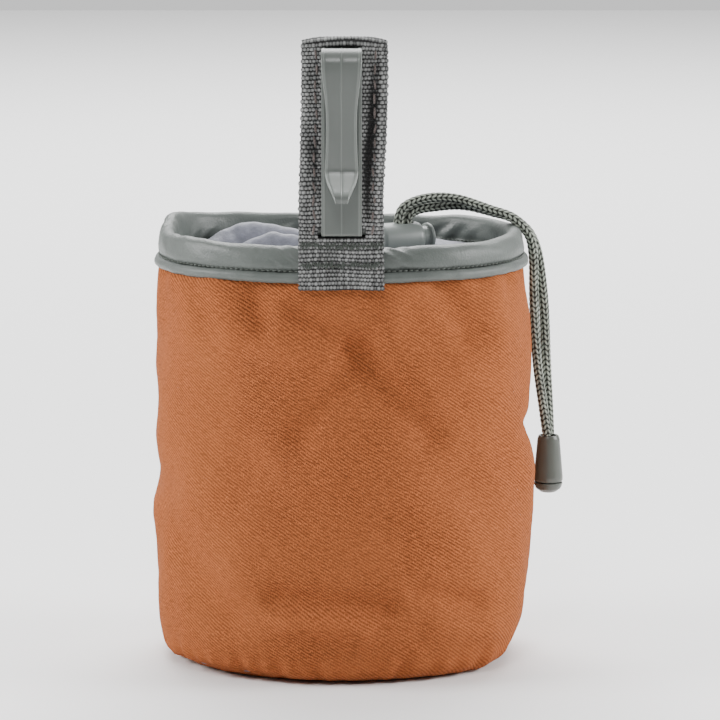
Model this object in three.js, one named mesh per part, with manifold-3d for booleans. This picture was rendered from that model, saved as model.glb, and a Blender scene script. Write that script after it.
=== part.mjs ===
// A drawstring treat pouch with a belt clip on a webbing strap.
// Millimetres, +Z up. The origin is the centre of the flat base, the strap is on the -Y side.
import * as THREE from "three";
import { mergeVertices } from "three/addons/utils/BufferGeometryUtils.js";
import Module from "manifold-3d";

const wasm = await Module();
wasm.setup();

// ---------- driving dimensions ----------
const GAP = 0.3; // between pieces that touch
const RING_STEPS = 40; // faces round the pouch

// pouch outline: half sizes at the rim, and how the wall leaves them further down
const RIM_HALF_WIDTH = 55.4;
const RIM_HALF_DEPTH = 43.5;
const RIM_Z = 133.5; // top of the rim
const FRONT_SQUARENESS = 2.1; // exponent of the oval, front half
const BACK_SQUARENESS = 2.7; // exponent of the oval, back half
const BULGE = 3.1; // how far the wall swells at mid height
const BULGE_RISE = 0.7; // below 1 puts the swell under mid height
const BASE_INSET = 5.6; // how far the wall rounds in at the base
const BASE_ROUND = 15; // height of that rounding
const SIDE_LEAN = 1.2; // how far the swell leans to +X

// cloth
const TWILL = 0.8;
const LINING = 0.4;
const LEATHER = 0.8; // leatherette of the rim binding
const PIPING_PLY = 0.35; // leatherette round the piping cord
const PIPING_CORE = 0.8; // radius of the piping cord
const PIPING_Z = RIM_Z - 9.1; // centre of the piping
const BINDING_FOOT_Z = RIM_Z - 6.9; // lower edge of the binding outside
const FACING_FOOT_Z = RIM_Z - 8.5; // lower edge of the binding inside
const CUFF_CLOTH = 0.5;

// drawstring cuff: the oval hole that its hem leaves open
const HEM_X = -10;
const HEM_Y = 3;
const HEM_HALF_WIDTH = RIM_HALF_WIDTH - 28.4;
const HEM_HALF_DEPTH = RIM_HALF_DEPTH - 27.5;
const HEM_Z = RIM_Z - 16;
const CUFF_EDGE_Z = RIM_Z - 9.9; // where the cuff is sewn on, under the binding
const CUFF_RISE = 2.2; // how far the cuff stands over its hem, half way out to the rim
const HEM_EXIT = [11.4, 11.6]; // size of the gap in the hem, where the cord comes out
const HEM_EXIT_SHIFT = -0.3; // of that gap along X, from the lock's middle

// drawcord and its fittings
const CORD = 3; // diameter
const CORD_SIDES = 8;
const LOCK_X = RIM_HALF_WIDTH - 36;
const LOCK_Y = 8;
const LOCK_Z = RIM_Z - 3.9; // axis of the cord lock's barrel
const LOCK_TURN = 30; // degrees that the barrel's axis is turned away from +X
const LOCK_RADIUS = 5.2;
const LOCK_WALL = 1.4;
const LOCK_LEFT = 10; // barrel's closed end, from the cord hole
const LOCK_RIGHT = 5.2; // barrel's open end, from the cord hole
const LOCK_FLOOR = 1.4;
const CORD_SLOT_HALF = 3.35; // half length of the cord hole, along the barrel
const CORD_SLOT_WIDTH = 3.7;
const PRESS_TRAVEL = 2.5; // of the plunger
const PLUNGER_FLANGE = 1.5; // thickness of its thumb disc
const PLUNGER_FLANGE_RADIUS = 4.4;
const SPRING_WIRE = 0.3; // radius
const SPRING_TURNS = 3;
const BELL_X = RIM_HALF_WIDTH + 9.6;
const BELL_Y = 12;
const BELL_FOOT_Z = RIM_Z - 84.6;
const BELL_HEIGHT = 18.2;
const BELL_RADIUS = 4.6; // at its widest
const BELL_TOP_RADIUS = 3.35;
const BELL_WALL = 1.1;
const CAP_HEIGHT = 3.2;

// strap
const STRAP_X = 0.5;
const STRAP_WIDTH = 25;
const WEBBING = 1.2; // thickness
const STRAP_FOOT_Z = RIM_Z - 12.1;
const STRAP_TOP_Z = RIM_Z + 62.5;
const BEND_Z = RIM_Z + 1.8; // line that the strap bends on, just above the rim
const BEND_GAP = 1.6; // left open there for the bend
const CLIP_SLOT_GAP = 0.4; // round the clip where it comes through the webbing

// belt clip
const CLIP_WIDTH = 12;
const CLIP_FOOT_Z = RIM_Z + 4;
const CLIP_TOP_Z = RIM_Z + 59.3;
const CLIP_PLATE = 3; // thickness of the back plate, sewing flange included
const CLIP_TONGUE = 2; // thickness of the tongue
const BELT_SPACE = 5; // between plate and tongue, at the top
const TIP_SPACE = 2.4; // between plate and tongue, where it comes closest
const FLANGE_THICKNESS = 0.8;
const FLANGE_MARGIN = 3.2; // of the sewing flange round the plate
const TONGUE_WAIST_Z = RIM_Z + 37.5;
const TONGUE_WAIST = 8.9;
const TONGUE_HIP_Z = RIM_Z + 23.2; // where the tip kicks out
const TONGUE_HIP = 9.8;
const TONGUE_TIP_Z = RIM_Z + 14.5;
const TONGUE_TIP = 4;
const TIP_KICK = 4; // how far the tip stands out

// layers of the rim, as distances in from its outer face
const PIPING_IN = LEATHER + GAP;
const PIPING_SLOT = GAP;
const PANEL_IN = PIPING_IN + 2 * PIPING_PLY + PIPING_SLOT + GAP;
const LINING_IN = PANEL_IN + TWILL + GAP;
const FACING_IN = LINING_IN + LINING + GAP;
const RIM_THICKNESS = FACING_IN + LEATHER;
const ALLOWANCE_TOP_Z = RIM_Z - 3.4; // cloth edges end here, inside the rim

// layers of the strap, as Y
const STRAP_BACK_Y = -wallSize(BINDING_FOOT_Z).halfDepth - GAP; // back face of the back layer
const FLANGE_BACK_Y = STRAP_BACK_Y - WEBBING - GAP;
const UPPER_FRONT_Y = FLANGE_BACK_Y - FLANGE_THICKNESS - GAP; // back face, above the bend
const LOWER_FRONT_Y = STRAP_BACK_Y - WEBBING - GAP; // back face, below the bend
const PLATE_FRONT_Y = FLANGE_BACK_Y - CLIP_PLATE;
const TONGUE_BACK_Y = PLATE_FRONT_Y - BELT_SPACE;

// ---------- materials ----------
function cloth(color) {
  return new THREE.MeshStandardMaterial({ color, roughness: 0.9, metalness: 0 });
}
function plastic(color) {
  return new THREE.MeshStandardMaterial({ color, roughness: 0.5, metalness: 0 });
}
const twill = cloth(0xa76643);
const leatherette = cloth(0x858a87);
const nylon = cloth(0x989ba6);
const webbing = cloth(0x5f5f5e);
const braid = cloth(0x54544d);
const clipPlastic = plastic(0x787c79);
const lockPlastic = plastic(0x909592);
const steel = new THREE.MeshStandardMaterial({ color: 0xb0b2b4, roughness: 0.3, metalness: 1 });

// ---------- solids ----------
const group = new THREE.Group();

function add(name, geometry, material, parent = group) {
  const mesh = new THREE.Mesh(geometry, material);
  mesh.name = name;
  parent.add(mesh);
  return mesh;
}

function toSolid(geometry) {
  const bare = geometry.clone();
  bare.deleteAttribute("normal");
  bare.deleteAttribute("uv");
  const merged = mergeVertices(bare, 1e-4);
  const triVerts = new Uint32Array(merged.index.array);
  const vertProperties = merged.attributes.position.array;
  return new wasm.Manifold(new wasm.Mesh({ numProp: 3, vertProperties, triVerts }));
}

function toGeometry(solid) {
  const mesh = solid.getMesh();
  const geometry = new THREE.BufferGeometry();
  geometry.setAttribute("position", new THREE.BufferAttribute(mesh.vertProperties, 3));
  geometry.setIndex(new THREE.BufferAttribute(mesh.triVerts, 1));
  geometry.computeVertexNormals();
  return geometry;
}

// ---------- pouch outline ----------
function wallSize(z) {
  const up = THREE.MathUtils.clamp(z / RIM_Z, 0, 1);
  const swell = Math.sin(Math.PI * up ** BULGE_RISE);
  const low = Math.max(0, 1 - z / BASE_ROUND);
  const inset = BASE_INSET * (1 - Math.sqrt(1 - low * low));
  return {
    halfWidth: RIM_HALF_WIDTH + BULGE * swell - inset,
    halfDepth: RIM_HALF_DEPTH + BULGE * swell - inset,
    lean: SIDE_LEAN * swell,
  };
}

// A point of the oval at a turn of `angle`, moved in by `inward` along its normal.
function wallPoint(angle, z, inward) {
  const { halfWidth, halfDepth, lean } = wallSize(z);
  const c = Math.cos(angle);
  const s = Math.sin(angle);
  const power = 2 / (s < 0 ? FRONT_SQUARENESS : BACK_SQUARENESS);
  const x = halfWidth * Math.sign(c) * Math.abs(c) ** power;
  const y = halfDepth * Math.sign(s) * Math.abs(s) ** power;
  const nx = Math.sign(c) * Math.abs(c) ** (2 - power) / halfWidth;
  const ny = Math.sign(s) * Math.abs(s) ** (2 - power) / halfDepth;
  const n = Math.hypot(nx, ny);
  return [x + lean - (inward * nx) / n, y - (inward * ny) / n];
}

const TURNING_RADIUS = 100; // of the plain rings, before they are laid along the oval

// Turns a closed outline of [inward, z] points round the pouch's wall.
function wallRing(outline) {
  const points = outline.map(([inward, z]) => new THREE.Vector2(TURNING_RADIUS - inward, z));
  if (THREE.ShapeUtils.area(points) < 0) points.reverse(); // so that the faces point out
  points.push(points[0].clone());
  const ring = new THREE.LatheGeometry(points, RING_STEPS);
  const position = ring.attributes.position;
  for (let i = 0; i < position.count; i++) {
    const inward = TURNING_RADIUS - Math.hypot(position.getX(i), position.getZ(i));
    const angle = Math.atan2(-position.getZ(i), position.getX(i));
    const z = position.getY(i);
    position.setXYZ(i, ...wallPoint(angle, z, inward), z);
  }
  return ring;
}

// A flat or dished oval from the middle out to `inward` from the wall.
function wallDisc(outline) {
  const points = outline.map(([share, , z]) => new THREE.Vector2(share, z));
  const disc = new THREE.LatheGeometry(points, RING_STEPS);
  const position = disc.attributes.position;
  const rows = outline.length;
  for (let i = 0; i < position.count; i++) {
    const [share, inward, z] = outline[i % rows];
    const angle = Math.atan2(-position.getZ(i), position.getX(i));
    const [x, y] = share === 0 ? [0, 0] : wallPoint(angle, z, inward);
    position.setXYZ(i, x * share, y * share, z);
  }
  return disc;
}

function arc(cx, cy, radius, fromDegrees, toDegrees, steps) {
  return Array.from({ length: steps + 1 }, (_, i) => {
    const t = THREE.MathUtils.degToRad(fromDegrees + ((toDegrees - fromDegrees) * i) / steps);
    return [cx + radius * Math.cos(t), cy + radius * Math.sin(t)];
  });
}

// Heights that the wall's pieces all have a row of points at, so that they lie parallel.
const WALL_ROWS = [0.25, 0.5, 1, 2.4, 3.8, 5.2, 6.6].map((share) => share * BASE_ROUND);

function wallRows(offset, footZ, shoulderZ) {
  const between = WALL_ROWS.filter((z) => z > footZ + 1 && z < shoulderZ - 4);
  return [footZ, ...between, shoulderZ].map((z) => [offset, z]);
}

// ---------- outer bag ----------
const PANEL_SHOULDER_Z = PIPING_Z - 3.2; // the wall steps in under the piping here
const PANEL_FOOT_Z = TWILL + GAP; // the wall's foot stands just above the base panel

add(
  "outer_side_panel",
  wallRing([
    ...wallRows(0, PANEL_FOOT_Z, PANEL_SHOULDER_Z),
    [PANEL_IN, PIPING_Z - 1.6],
    [PANEL_IN, ALLOWANCE_TOP_Z],
    [PANEL_IN + TWILL, ALLOWANCE_TOP_Z],
    [PANEL_IN + TWILL, PIPING_Z - 2],
    ...wallRows(TWILL, PANEL_FOOT_Z, PANEL_SHOULDER_Z).reverse(),
  ]),
  twill,
);

add(
  "outer_base_panel",
  wallDisc([
    [0, 0, 0],
    [1, 1, 0],
    [1, 0, TWILL / 2],
    [1, 0, TWILL],
    [0, 0, TWILL],
  ]),
  twill,
);

// ---------- lining ----------
const LINER_IN = TWILL + GAP;
const LINER_FLOOR_Z = PANEL_FOOT_Z + GAP;
const LINER_FOOT_Z = LINER_FLOOR_Z + LINING + GAP;
const LINER_SHOULDER_Z = PANEL_SHOULDER_Z - 9; // the lining leans in above this

add(
  "lining_side_panel",
  wallRing([
    ...wallRows(LINER_IN, LINER_FOOT_Z, LINER_SHOULDER_Z),
    [LINING_IN, PIPING_Z - 2.6],
    [LINING_IN, ALLOWANCE_TOP_Z],
    [LINING_IN + LINING, ALLOWANCE_TOP_Z],
    [LINING_IN + LINING, PIPING_Z - 2.9],
    ...wallRows(LINER_IN + LINING, LINER_FOOT_Z, LINER_SHOULDER_Z).reverse(),
  ]),
  nylon,
);

add(
  "lining_base_panel",
  wallDisc([
    [0, 0, LINER_FLOOR_Z],
    [1, LINER_IN, LINER_FLOOR_Z],
    [1, LINER_IN, LINER_FLOOR_Z + LINING],
    [0, 0, LINER_FLOOR_Z + LINING],
  ]),
  nylon,
);

// ---------- rim ----------
const ROLL_RADIUS = RIM_THICKNESS / 2;
const ROLL_Z = RIM_Z - ROLL_RADIUS;

add(
  "rim_binding",
  wallRing([
    [0, BINDING_FOOT_Z],
    ...arc(ROLL_RADIUS, ROLL_Z, ROLL_RADIUS, 180, 0, 6),
    [RIM_THICKNESS, FACING_FOOT_Z],
    [FACING_IN, FACING_FOOT_Z],
    ...arc(ROLL_RADIUS, ROLL_Z, ROLL_RADIUS - LEATHER, 0, 180, 6),
    [LEATHER, BINDING_FOOT_Z],
  ]),
  leatherette,
);

const PIPING_RADIUS = PIPING_CORE + GAP + PIPING_PLY;
const PIPING_CENTRE_IN = PIPING_IN + 2 * PIPING_PLY + PIPING_SLOT - PIPING_RADIUS;

add(
  "rim_piping_cover",
  wallRing([
    [PIPING_IN, ALLOWANCE_TOP_Z],
    ...arc(PIPING_CENTRE_IN, PIPING_Z, PIPING_RADIUS, 68, 360, 7),
    [PIPING_CENTRE_IN + PIPING_RADIUS, ALLOWANCE_TOP_Z],
    [PIPING_CENTRE_IN + PIPING_RADIUS - PIPING_PLY, ALLOWANCE_TOP_Z],
    ...arc(PIPING_CENTRE_IN, PIPING_Z, PIPING_RADIUS - PIPING_PLY, 360, 40, 6),
    [PIPING_IN + PIPING_PLY, PIPING_Z + PIPING_RADIUS],
    [PIPING_IN + PIPING_PLY, ALLOWANCE_TOP_Z],
  ]),
  leatherette,
);

add(
  "rim_piping_cord",
  wallRing(arc(PIPING_CENTRE_IN, PIPING_Z, PIPING_CORE, 360, 60, 5)),
  braid,
);

// ---------- where the two strands pass through the lock ----------
const STRAND_OFFSET = CORD / 2 + 0.1; // from the middle of the cord hole, along the barrel
const LOCK_ANGLE = THREE.MathUtils.degToRad(LOCK_TURN);
const STRAND_DX = STRAND_OFFSET * Math.cos(LOCK_ANGLE);
const STRAND_DY = STRAND_OFFSET * Math.sin(LOCK_ANGLE);
const STRAND_A = [LOCK_X - STRAND_DX, LOCK_Y - STRAND_DY];
const STRAND_B = [LOCK_X + STRAND_DX, LOCK_Y + STRAND_DY];

// ---------- drawstring cuff ----------
const HEM_INNER = CORD / 2 + 1.3 * GAP; // radius of the channel that the cord runs in
const HEM_OUTER = HEM_INNER + CUFF_CLOTH;

// Turns an outline of [share, out, z] points: share 0 is the hem's oval and 1 the rim.
function cuffRing(outline) {
  const points = outline.map((_, i) => new THREE.Vector2(TURNING_RADIUS + i, i));
  points.push(points[0].clone());
  const ring = new THREE.LatheGeometry(points, RING_STEPS);
  const position = ring.attributes.position;
  for (let i = 0; i < position.count; i++) {
    const [share, out, z] = outline[(i % points.length) % outline.length];
    const angle = Math.atan2(-position.getZ(i), position.getX(i));
    const [rimX, rimY] = wallPoint(angle, z, RIM_THICKNESS + GAP);
    const c = Math.cos(angle);
    const s = Math.sin(angle);
    const n = Math.hypot(c / HEM_HALF_WIDTH, s / HEM_HALF_DEPTH);
    const hemX = HEM_X + HEM_HALF_WIDTH * c + (out * c) / HEM_HALF_WIDTH / n;
    const hemY = HEM_Y + HEM_HALF_DEPTH * s + (out * s) / HEM_HALF_DEPTH / n;
    const x = THREE.MathUtils.lerp(hemX, rimX, share);
    const y = THREE.MathUtils.lerp(hemY, rimY, share);
    position.setXYZ(i, x, y, z);
  }
  return ring;
}

function hemArc(radius, from, to, steps) {
  return arc(0, HEM_Z, radius, from, to, steps).map(([out, z]) => [0, out, z]);
}

const cuffSolid = toSolid(
  cuffRing([
    [1, 0, CUFF_EDGE_Z],
    [0.5, 0, HEM_Z + HEM_OUTER + CUFF_RISE],
    [0, 0, HEM_Z + HEM_OUTER],
    ...hemArc(HEM_OUTER, 120, 375, 6),
    ...hemArc(HEM_INNER, 375, 120, 6),
    [0, 0, HEM_Z + HEM_INNER],
    [0.5, 0, HEM_Z + HEM_INNER + CUFF_RISE],
    [1, 0, CUFF_EDGE_Z - CUFF_CLOTH],
  ]),
);
const hemExit = new THREE.BoxGeometry(...HEM_EXIT, 2 * HEM_OUTER + 6);
hemExit.translate(LOCK_X + HEM_EXIT_SHIFT, LOCK_Y, HEM_Z + 1);
const cuff = cuffSolid.subtract(toSolid(hemExit));
add("drawstring_cuff", toGeometry(cuff), nylon);

// ---------- drawcord ----------
// A tube of `sides` faces along a curve, ended flat.
function tube(curve, radius, sides, steps) {
  const section = new THREE.Shape();
  for (let i = 0; i < sides; i++) {
    const t = (2 * Math.PI * i) / sides;
    const [x, y] = [radius * Math.cos(t), radius * Math.sin(t)];
    if (i === 0) section.moveTo(x, y);
    else section.lineTo(x, y);
  }
  section.closePath();
  return new THREE.ExtrudeGeometry(section, { steps, extrudePath: curve, bevelEnabled: false });
}

function route(points) {
  return new THREE.CatmullRomCurve3(
    points.map((p) => new THREE.Vector3(...p)),
    false,
    "centripetal",
  );
}

function cordAlong(name, points, material = braid) {
  const curve = route(points);
  const steps = Math.ceil(curve.getLength() / (2.2 * CORD));
  return add(name, tube(curve, CORD / 2, CORD_SIDES, steps), material);
}

// The loop lies in the hem's channel and both its ends turn up under the cord lock.
const LOOP_POINTS = 22;
const LOOP_FROM = 0.47; // turn at which the loop enters the channel, in radians
const LOOP_TO = 2 * Math.PI + 0.08; // and leaves it again
const CORD_START_Z = HEM_Z + 5; // the free strands start here
const loopPoints = Array.from({ length: LOOP_POINTS + 1 }, (_, i) => {
  const angle = LOOP_FROM + ((LOOP_TO - LOOP_FROM) * i) / LOOP_POINTS;
  return [HEM_X + HEM_HALF_WIDTH * Math.cos(angle), HEM_Y + HEM_HALF_DEPTH * Math.sin(angle), HEM_Z];
});
const LOOP_TOP_Z = CORD_START_Z - GAP;
loopPoints.unshift([...STRAND_B, LOOP_TOP_Z], [...STRAND_B, LOOP_TOP_Z - CORD / 2]);
loopPoints.push([...STRAND_A, LOOP_TOP_Z - CORD / 2], [...STRAND_A, LOOP_TOP_Z]);
add("drawcord_loop_in_hem", tube(route(loopPoints), CORD / 2, CORD_SIDES, 60), braid);

// A point by its distance beyond the rim's right end, its Y, and its height over the rim.
function overRim(out, y, up) {
  return [RIM_HALF_WIDTH + out, y, RIM_Z + up];
}

// Free strands: up through the lock, over the rim's +X end, and down to the cord end.
const STRAND_A_OVER = [
  [...STRAND_A, CORD_START_Z],
  [...STRAND_A, LOCK_Z],
  [...STRAND_A, LOCK_Z + LOCK_RADIUS + CORD / 2],
  overRim(-35.8, 7.6, 5.9),
  overRim(-29.8, 8.6, 8.4),
  overRim(-20.4, 9.2, 8.5),
  overRim(-9, 8.2, 5),
  overRim(-2.4, 7.2, 2.7),
  overRim(1.8, 6.8, -1.1),
];
const STRAND_B_OVER = [
  [...STRAND_B, CORD_START_Z],
  [...STRAND_B, LOCK_Z],
  [...STRAND_B, LOCK_Z + LOCK_RADIUS + CORD / 2],
  overRim(-32.2, 9.8, 4.7),
  overRim(-26, 11, 5.7),
  overRim(-17.4, 12.4, 5.9),
  overRim(-8.2, 12, 3.9),
  overRim(-2.4, 10.8, 2.3),
  overRim(1.8, 10.2, -0.9),
];
const STRAND_A_HANGING = [
  overRim(2.3, 6.8, -1.8),
  overRim(3.2, 6.7, -3.5),
  overRim(4.1, 6.4, -8.5),
  overRim(4.4, 6.2, -21.5),
  overRim(5.6, 7, -41.5),
  overRim(7.8, 9.2, -57.5),
  [BELL_X - 0.5, BELL_Y - 1.6, BELL_FOOT_Z + BELL_HEIGHT + GAP],
];
const STRAND_B_HANGING = [
  overRim(2.4, 10.2, -1.5),
  overRim(3.6, 10.1, -3.3),
  overRim(5.5, 9.8, -8.1),
  overRim(7.4, 8.4, -21.5),
  overRim(8.5, 9.6, -41.5),
  overRim(9.5, 12.2, -57.5),
  [BELL_X + 0.3, BELL_Y + 1.5, BELL_FOOT_Z + BELL_HEIGHT + GAP],
];
cordAlong("drawcord_strand_a_over_rim", STRAND_A_OVER);
cordAlong("drawcord_strand_b_over_rim", STRAND_B_OVER);
cordAlong("drawcord_strand_a_hanging", STRAND_A_HANGING);
cordAlong("drawcord_strand_b_hanging", STRAND_B_HANGING);

// ---------- cord lock ----------
const lock = new THREE.Group();
lock.position.set(LOCK_X, LOCK_Y, LOCK_Z);
lock.rotation.z = LOCK_ANGLE;
group.add(lock);
const LOCK_STEPS = 20;
const BORE = LOCK_RADIUS - LOCK_WALL;
const STEM = BORE - GAP;
const STEM_LEFT = -CORD_SLOT_HALF - 1.5;
const BORE_LEFT = -LOCK_LEFT + LOCK_FLOOR;
const LOCK_EDGE = 1; // rounding of the barrel's closed end
const FLANGE_LEFT = LOCK_RIGHT + PRESS_TRAVEL + GAP;

// Lathe about X from [x, radius] points, both ends on the axis.
function turnedX(outline, steps) {
  const points = outline.map(([x, radius]) => new THREE.Vector2(radius, x));
  return new THREE.LatheGeometry(points, steps).rotateZ(-Math.PI / 2);
}

// The stadium-shaped hole that both strands pass through, from below to above.
function cordSlot(left, right) {
  const half = CORD_SLOT_WIDTH / 2;
  const outline = new THREE.Shape();
  outline.absarc(left + half, 0, half, Math.PI / 2, (3 * Math.PI) / 2, false);
  outline.absarc(right - half, 0, half, -Math.PI / 2, Math.PI / 2, false);
  outline.closePath();
  const depth = 2 * LOCK_RADIUS + 2;
  const settings = { depth, bevelEnabled: false, curveSegments: 6, steps: 1 };
  return new THREE.ExtrudeGeometry(outline, settings).translate(0, 0, -depth / 2);
}

const barrel = turnedX(
  [
    [-LOCK_LEFT, 0],
    [-LOCK_LEFT, LOCK_RADIUS - LOCK_EDGE],
    [-LOCK_LEFT + LOCK_EDGE, LOCK_RADIUS],
    [LOCK_RIGHT - LOCK_EDGE / 2, LOCK_RADIUS],
    [LOCK_RIGHT, LOCK_RADIUS - LOCK_EDGE / 2],
    [LOCK_RIGHT, BORE],
    [BORE_LEFT, BORE],
    [BORE_LEFT, 0],
  ],
  LOCK_STEPS,
);
const barrelCut = toSolid(barrel).subtract(toSolid(cordSlot(-CORD_SLOT_HALF, CORD_SLOT_HALF)));
add("cord_lock_barrel", toGeometry(barrelCut), lockPlastic, lock);

const plunger = turnedX(
  [
    [STEM_LEFT, 0],
    [STEM_LEFT, STEM],
    [FLANGE_LEFT, STEM],
    [FLANGE_LEFT, PLUNGER_FLANGE_RADIUS - 0.3],
    [FLANGE_LEFT + 0.4, PLUNGER_FLANGE_RADIUS],
    [FLANGE_LEFT + PLUNGER_FLANGE - 0.4, PLUNGER_FLANGE_RADIUS],
    [FLANGE_LEFT + PLUNGER_FLANGE, PLUNGER_FLANGE_RADIUS - 0.5],
    [FLANGE_LEFT + PLUNGER_FLANGE, 0],
  ],
  LOCK_STEPS,
);
const plungerSlot = cordSlot(-CORD_SLOT_HALF, CORD_SLOT_HALF + PRESS_TRAVEL);
const plungerCut = toSolid(plunger).subtract(toSolid(plungerSlot));
add("cord_lock_plunger", toGeometry(plungerCut), lockPlastic, lock);

const SPRING_RADIUS = BORE - SPRING_WIRE - 2 * GAP;
const SPRING_LEFT = BORE_LEFT + SPRING_WIRE + GAP;
const SPRING_RIGHT = STEM_LEFT - SPRING_WIRE - GAP;
const SPRING_POINTS_PER_TURN = 12;
const springPoints = Array.from({ length: SPRING_TURNS * SPRING_POINTS_PER_TURN + 1 }, (_, i) => {
  const t = i / SPRING_POINTS_PER_TURN;
  const x = THREE.MathUtils.lerp(SPRING_LEFT, SPRING_RIGHT, t / SPRING_TURNS);
  const angle = 2 * Math.PI * t;
  return [x, SPRING_RADIUS * Math.cos(angle), SPRING_RADIUS * Math.sin(angle)];
});
add("cord_lock_spring", tube(route(springPoints), SPRING_WIRE, 6, 40), steel, lock);

// ---------- cord end ----------
const cordEnd = new THREE.Group();
cordEnd.position.set(BELL_X, BELL_Y, BELL_FOOT_Z);
group.add(cordEnd);
const BELL_STEPS = 24;
const BELL_HOLE = BELL_TOP_RADIUS - 0.9;
const BELL_BORE = BELL_RADIUS - BELL_WALL - 0.4;
const NECK_Z = BELL_HEIGHT - 4.4; // the cavity narrows to the hole here

function turnedZ(outline, steps) {
  const points = outline.map(([radius, z]) => new THREE.Vector2(radius, z));
  return new THREE.LatheGeometry(points, steps).rotateX(Math.PI / 2);
}

add(
  "cord_end_bell",
  turnedZ(
    [
      [BELL_RADIUS - 0.1, CAP_HEIGHT + GAP],
      [BELL_RADIUS, CAP_HEIGHT + 1.6],
      [BELL_RADIUS - 0.2, CAP_HEIGHT + 3],
      [BELL_TOP_RADIUS + 0.15, BELL_HEIGHT - 1],
      [BELL_TOP_RADIUS - 0.25, BELL_HEIGHT],
      [BELL_HOLE + 0.2, BELL_HEIGHT],
      [BELL_HOLE, BELL_HEIGHT - 0.6],
      [BELL_HOLE, NECK_Z],
      [BELL_BORE, NECK_Z - 2],
      [BELL_BORE, CAP_HEIGHT + GAP],
      [BELL_RADIUS - 0.1, CAP_HEIGHT + GAP],
    ],
    BELL_STEPS,
  ),
  clipPlastic,
  cordEnd,
);
add(
  "cord_end_cap",
  turnedZ(
    [
      [0, 0],
      [1.6, 0.15],
      [3.1, 0.9],
      [4.1, 2.1],
      [BELL_RADIUS - 0.1, CAP_HEIGHT],
      [BELL_BORE - GAP, CAP_HEIGHT],
      [BELL_BORE - GAP, CAP_HEIGHT + 2],
      [0, CAP_HEIGHT + 2],
    ],
    BELL_STEPS,
  ),
  clipPlastic,
  cordEnd,
);
const KNOT_RADIUS = BELL_BORE - GAP;
add(
  "drawcord_end_knot",
  turnedZ(
    [
      [0, CAP_HEIGHT + 2 + GAP],
      [KNOT_RADIUS * 0.8, CAP_HEIGHT + 3],
      [KNOT_RADIUS, CAP_HEIGHT + 4.6],
      [KNOT_RADIUS * 0.8, CAP_HEIGHT + 6.4],
      [BELL_HOLE - GAP, NECK_Z - 2],
      [BELL_HOLE - GAP, BELL_HEIGHT],
      [0, BELL_HEIGHT],
    ],
    12,
  ),
  braid,
  cordEnd,
);

// ---------- strap ----------
const STRAP_LEFT = STRAP_X - STRAP_WIDTH / 2;

// Extrudes an outline of [y, z] points over a span of X.
function acrossX(points, left, width) {
  const outline = new THREE.Shape(points.map(([y, z]) => new THREE.Vector2(y, z)));
  const settings = { depth: width, bevelEnabled: false, steps: 1 };
  const slab = new THREE.ExtrudeGeometry(outline, settings);
  // the outline's own axes become Y and Z, and the extrusion runs along X
  slab.applyMatrix4(new THREE.Matrix4().makeBasis(
    new THREE.Vector3(0, 1, 0), new THREE.Vector3(0, 0, 1), new THREE.Vector3(1, 0, 0),
  ));
  return slab.translate(left, 0, 0);
}

function layer(backY, footZ, topZ) {
  return acrossX(
    [
      [backY, footZ],
      [backY, topZ],
      [backY - WEBBING, topZ],
      [backY - WEBBING, footZ],
    ],
    STRAP_LEFT,
    STRAP_WIDTH,
  );
}

const LOWER_BACK_TOP_Z = BEND_Z - BEND_GAP / 2;
const LOWER_BACK_FOOT_Z = PIPING_Z + PIPING_RADIUS + GAP;
add("strap_back_layer_sewn_end", layer(STRAP_BACK_Y, LOWER_BACK_FOOT_Z, LOWER_BACK_TOP_Z), webbing);
add("strap_front_layer_sewn_end", layer(LOWER_FRONT_Y, STRAP_FOOT_Z, LOWER_BACK_TOP_Z), webbing);

const UPPER_FOOT_Z = BEND_Z + BEND_GAP / 2;
const FOLD_BACK = STRAP_BACK_Y;
const FOLD_FRONT = UPPER_FRONT_Y - WEBBING;
const FOLD_RADIUS = (FOLD_BACK - FOLD_FRONT) / 2;
const FOLD_Y = (FOLD_BACK + FOLD_FRONT) / 2;
const FOLD_Z = STRAP_TOP_Z - FOLD_RADIUS;
const upperLoop = acrossX(
  [
    [FOLD_BACK, UPPER_FOOT_Z],
    ...arc(FOLD_Y, FOLD_Z, FOLD_RADIUS, 0, 180, 8),
    [FOLD_FRONT, UPPER_FOOT_Z],
    [FOLD_FRONT + WEBBING, UPPER_FOOT_Z],
    ...arc(FOLD_Y, FOLD_Z, FOLD_RADIUS - WEBBING, 180, 0, 8),
    [FOLD_BACK - WEBBING, UPPER_FOOT_Z],
  ],
  STRAP_LEFT,
  STRAP_WIDTH,
);
const slotWidth = CLIP_WIDTH + 2 * CLIP_SLOT_GAP;
const slotHeight = CLIP_TOP_Z - CLIP_FOOT_Z + 2 * CLIP_SLOT_GAP;
const clipSlot = new THREE.BoxGeometry(slotWidth, WEBBING + 2 * GAP, slotHeight).translate(
  STRAP_X,
  UPPER_FRONT_Y - WEBBING / 2 - GAP / 2,
  (CLIP_TOP_Z + CLIP_FOOT_Z) / 2,
);
add("strap_upper_loop", toGeometry(toSolid(upperLoop).subtract(toSolid(clipSlot))), webbing);

// ---------- belt clip ----------
const PLATE_CENTRE_Z = (CLIP_TOP_Z + CLIP_FOOT_Z) / 2;
const PLATE_HEIGHT = CLIP_TOP_Z - CLIP_FOOT_Z;
const sewingFlange = new THREE.BoxGeometry(
  CLIP_WIDTH + 2 * FLANGE_MARGIN,
  FLANGE_THICKNESS,
  PLATE_HEIGHT,
).translate(STRAP_X, FLANGE_BACK_Y - FLANGE_THICKNESS / 2, PLATE_CENTRE_Z);

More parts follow.
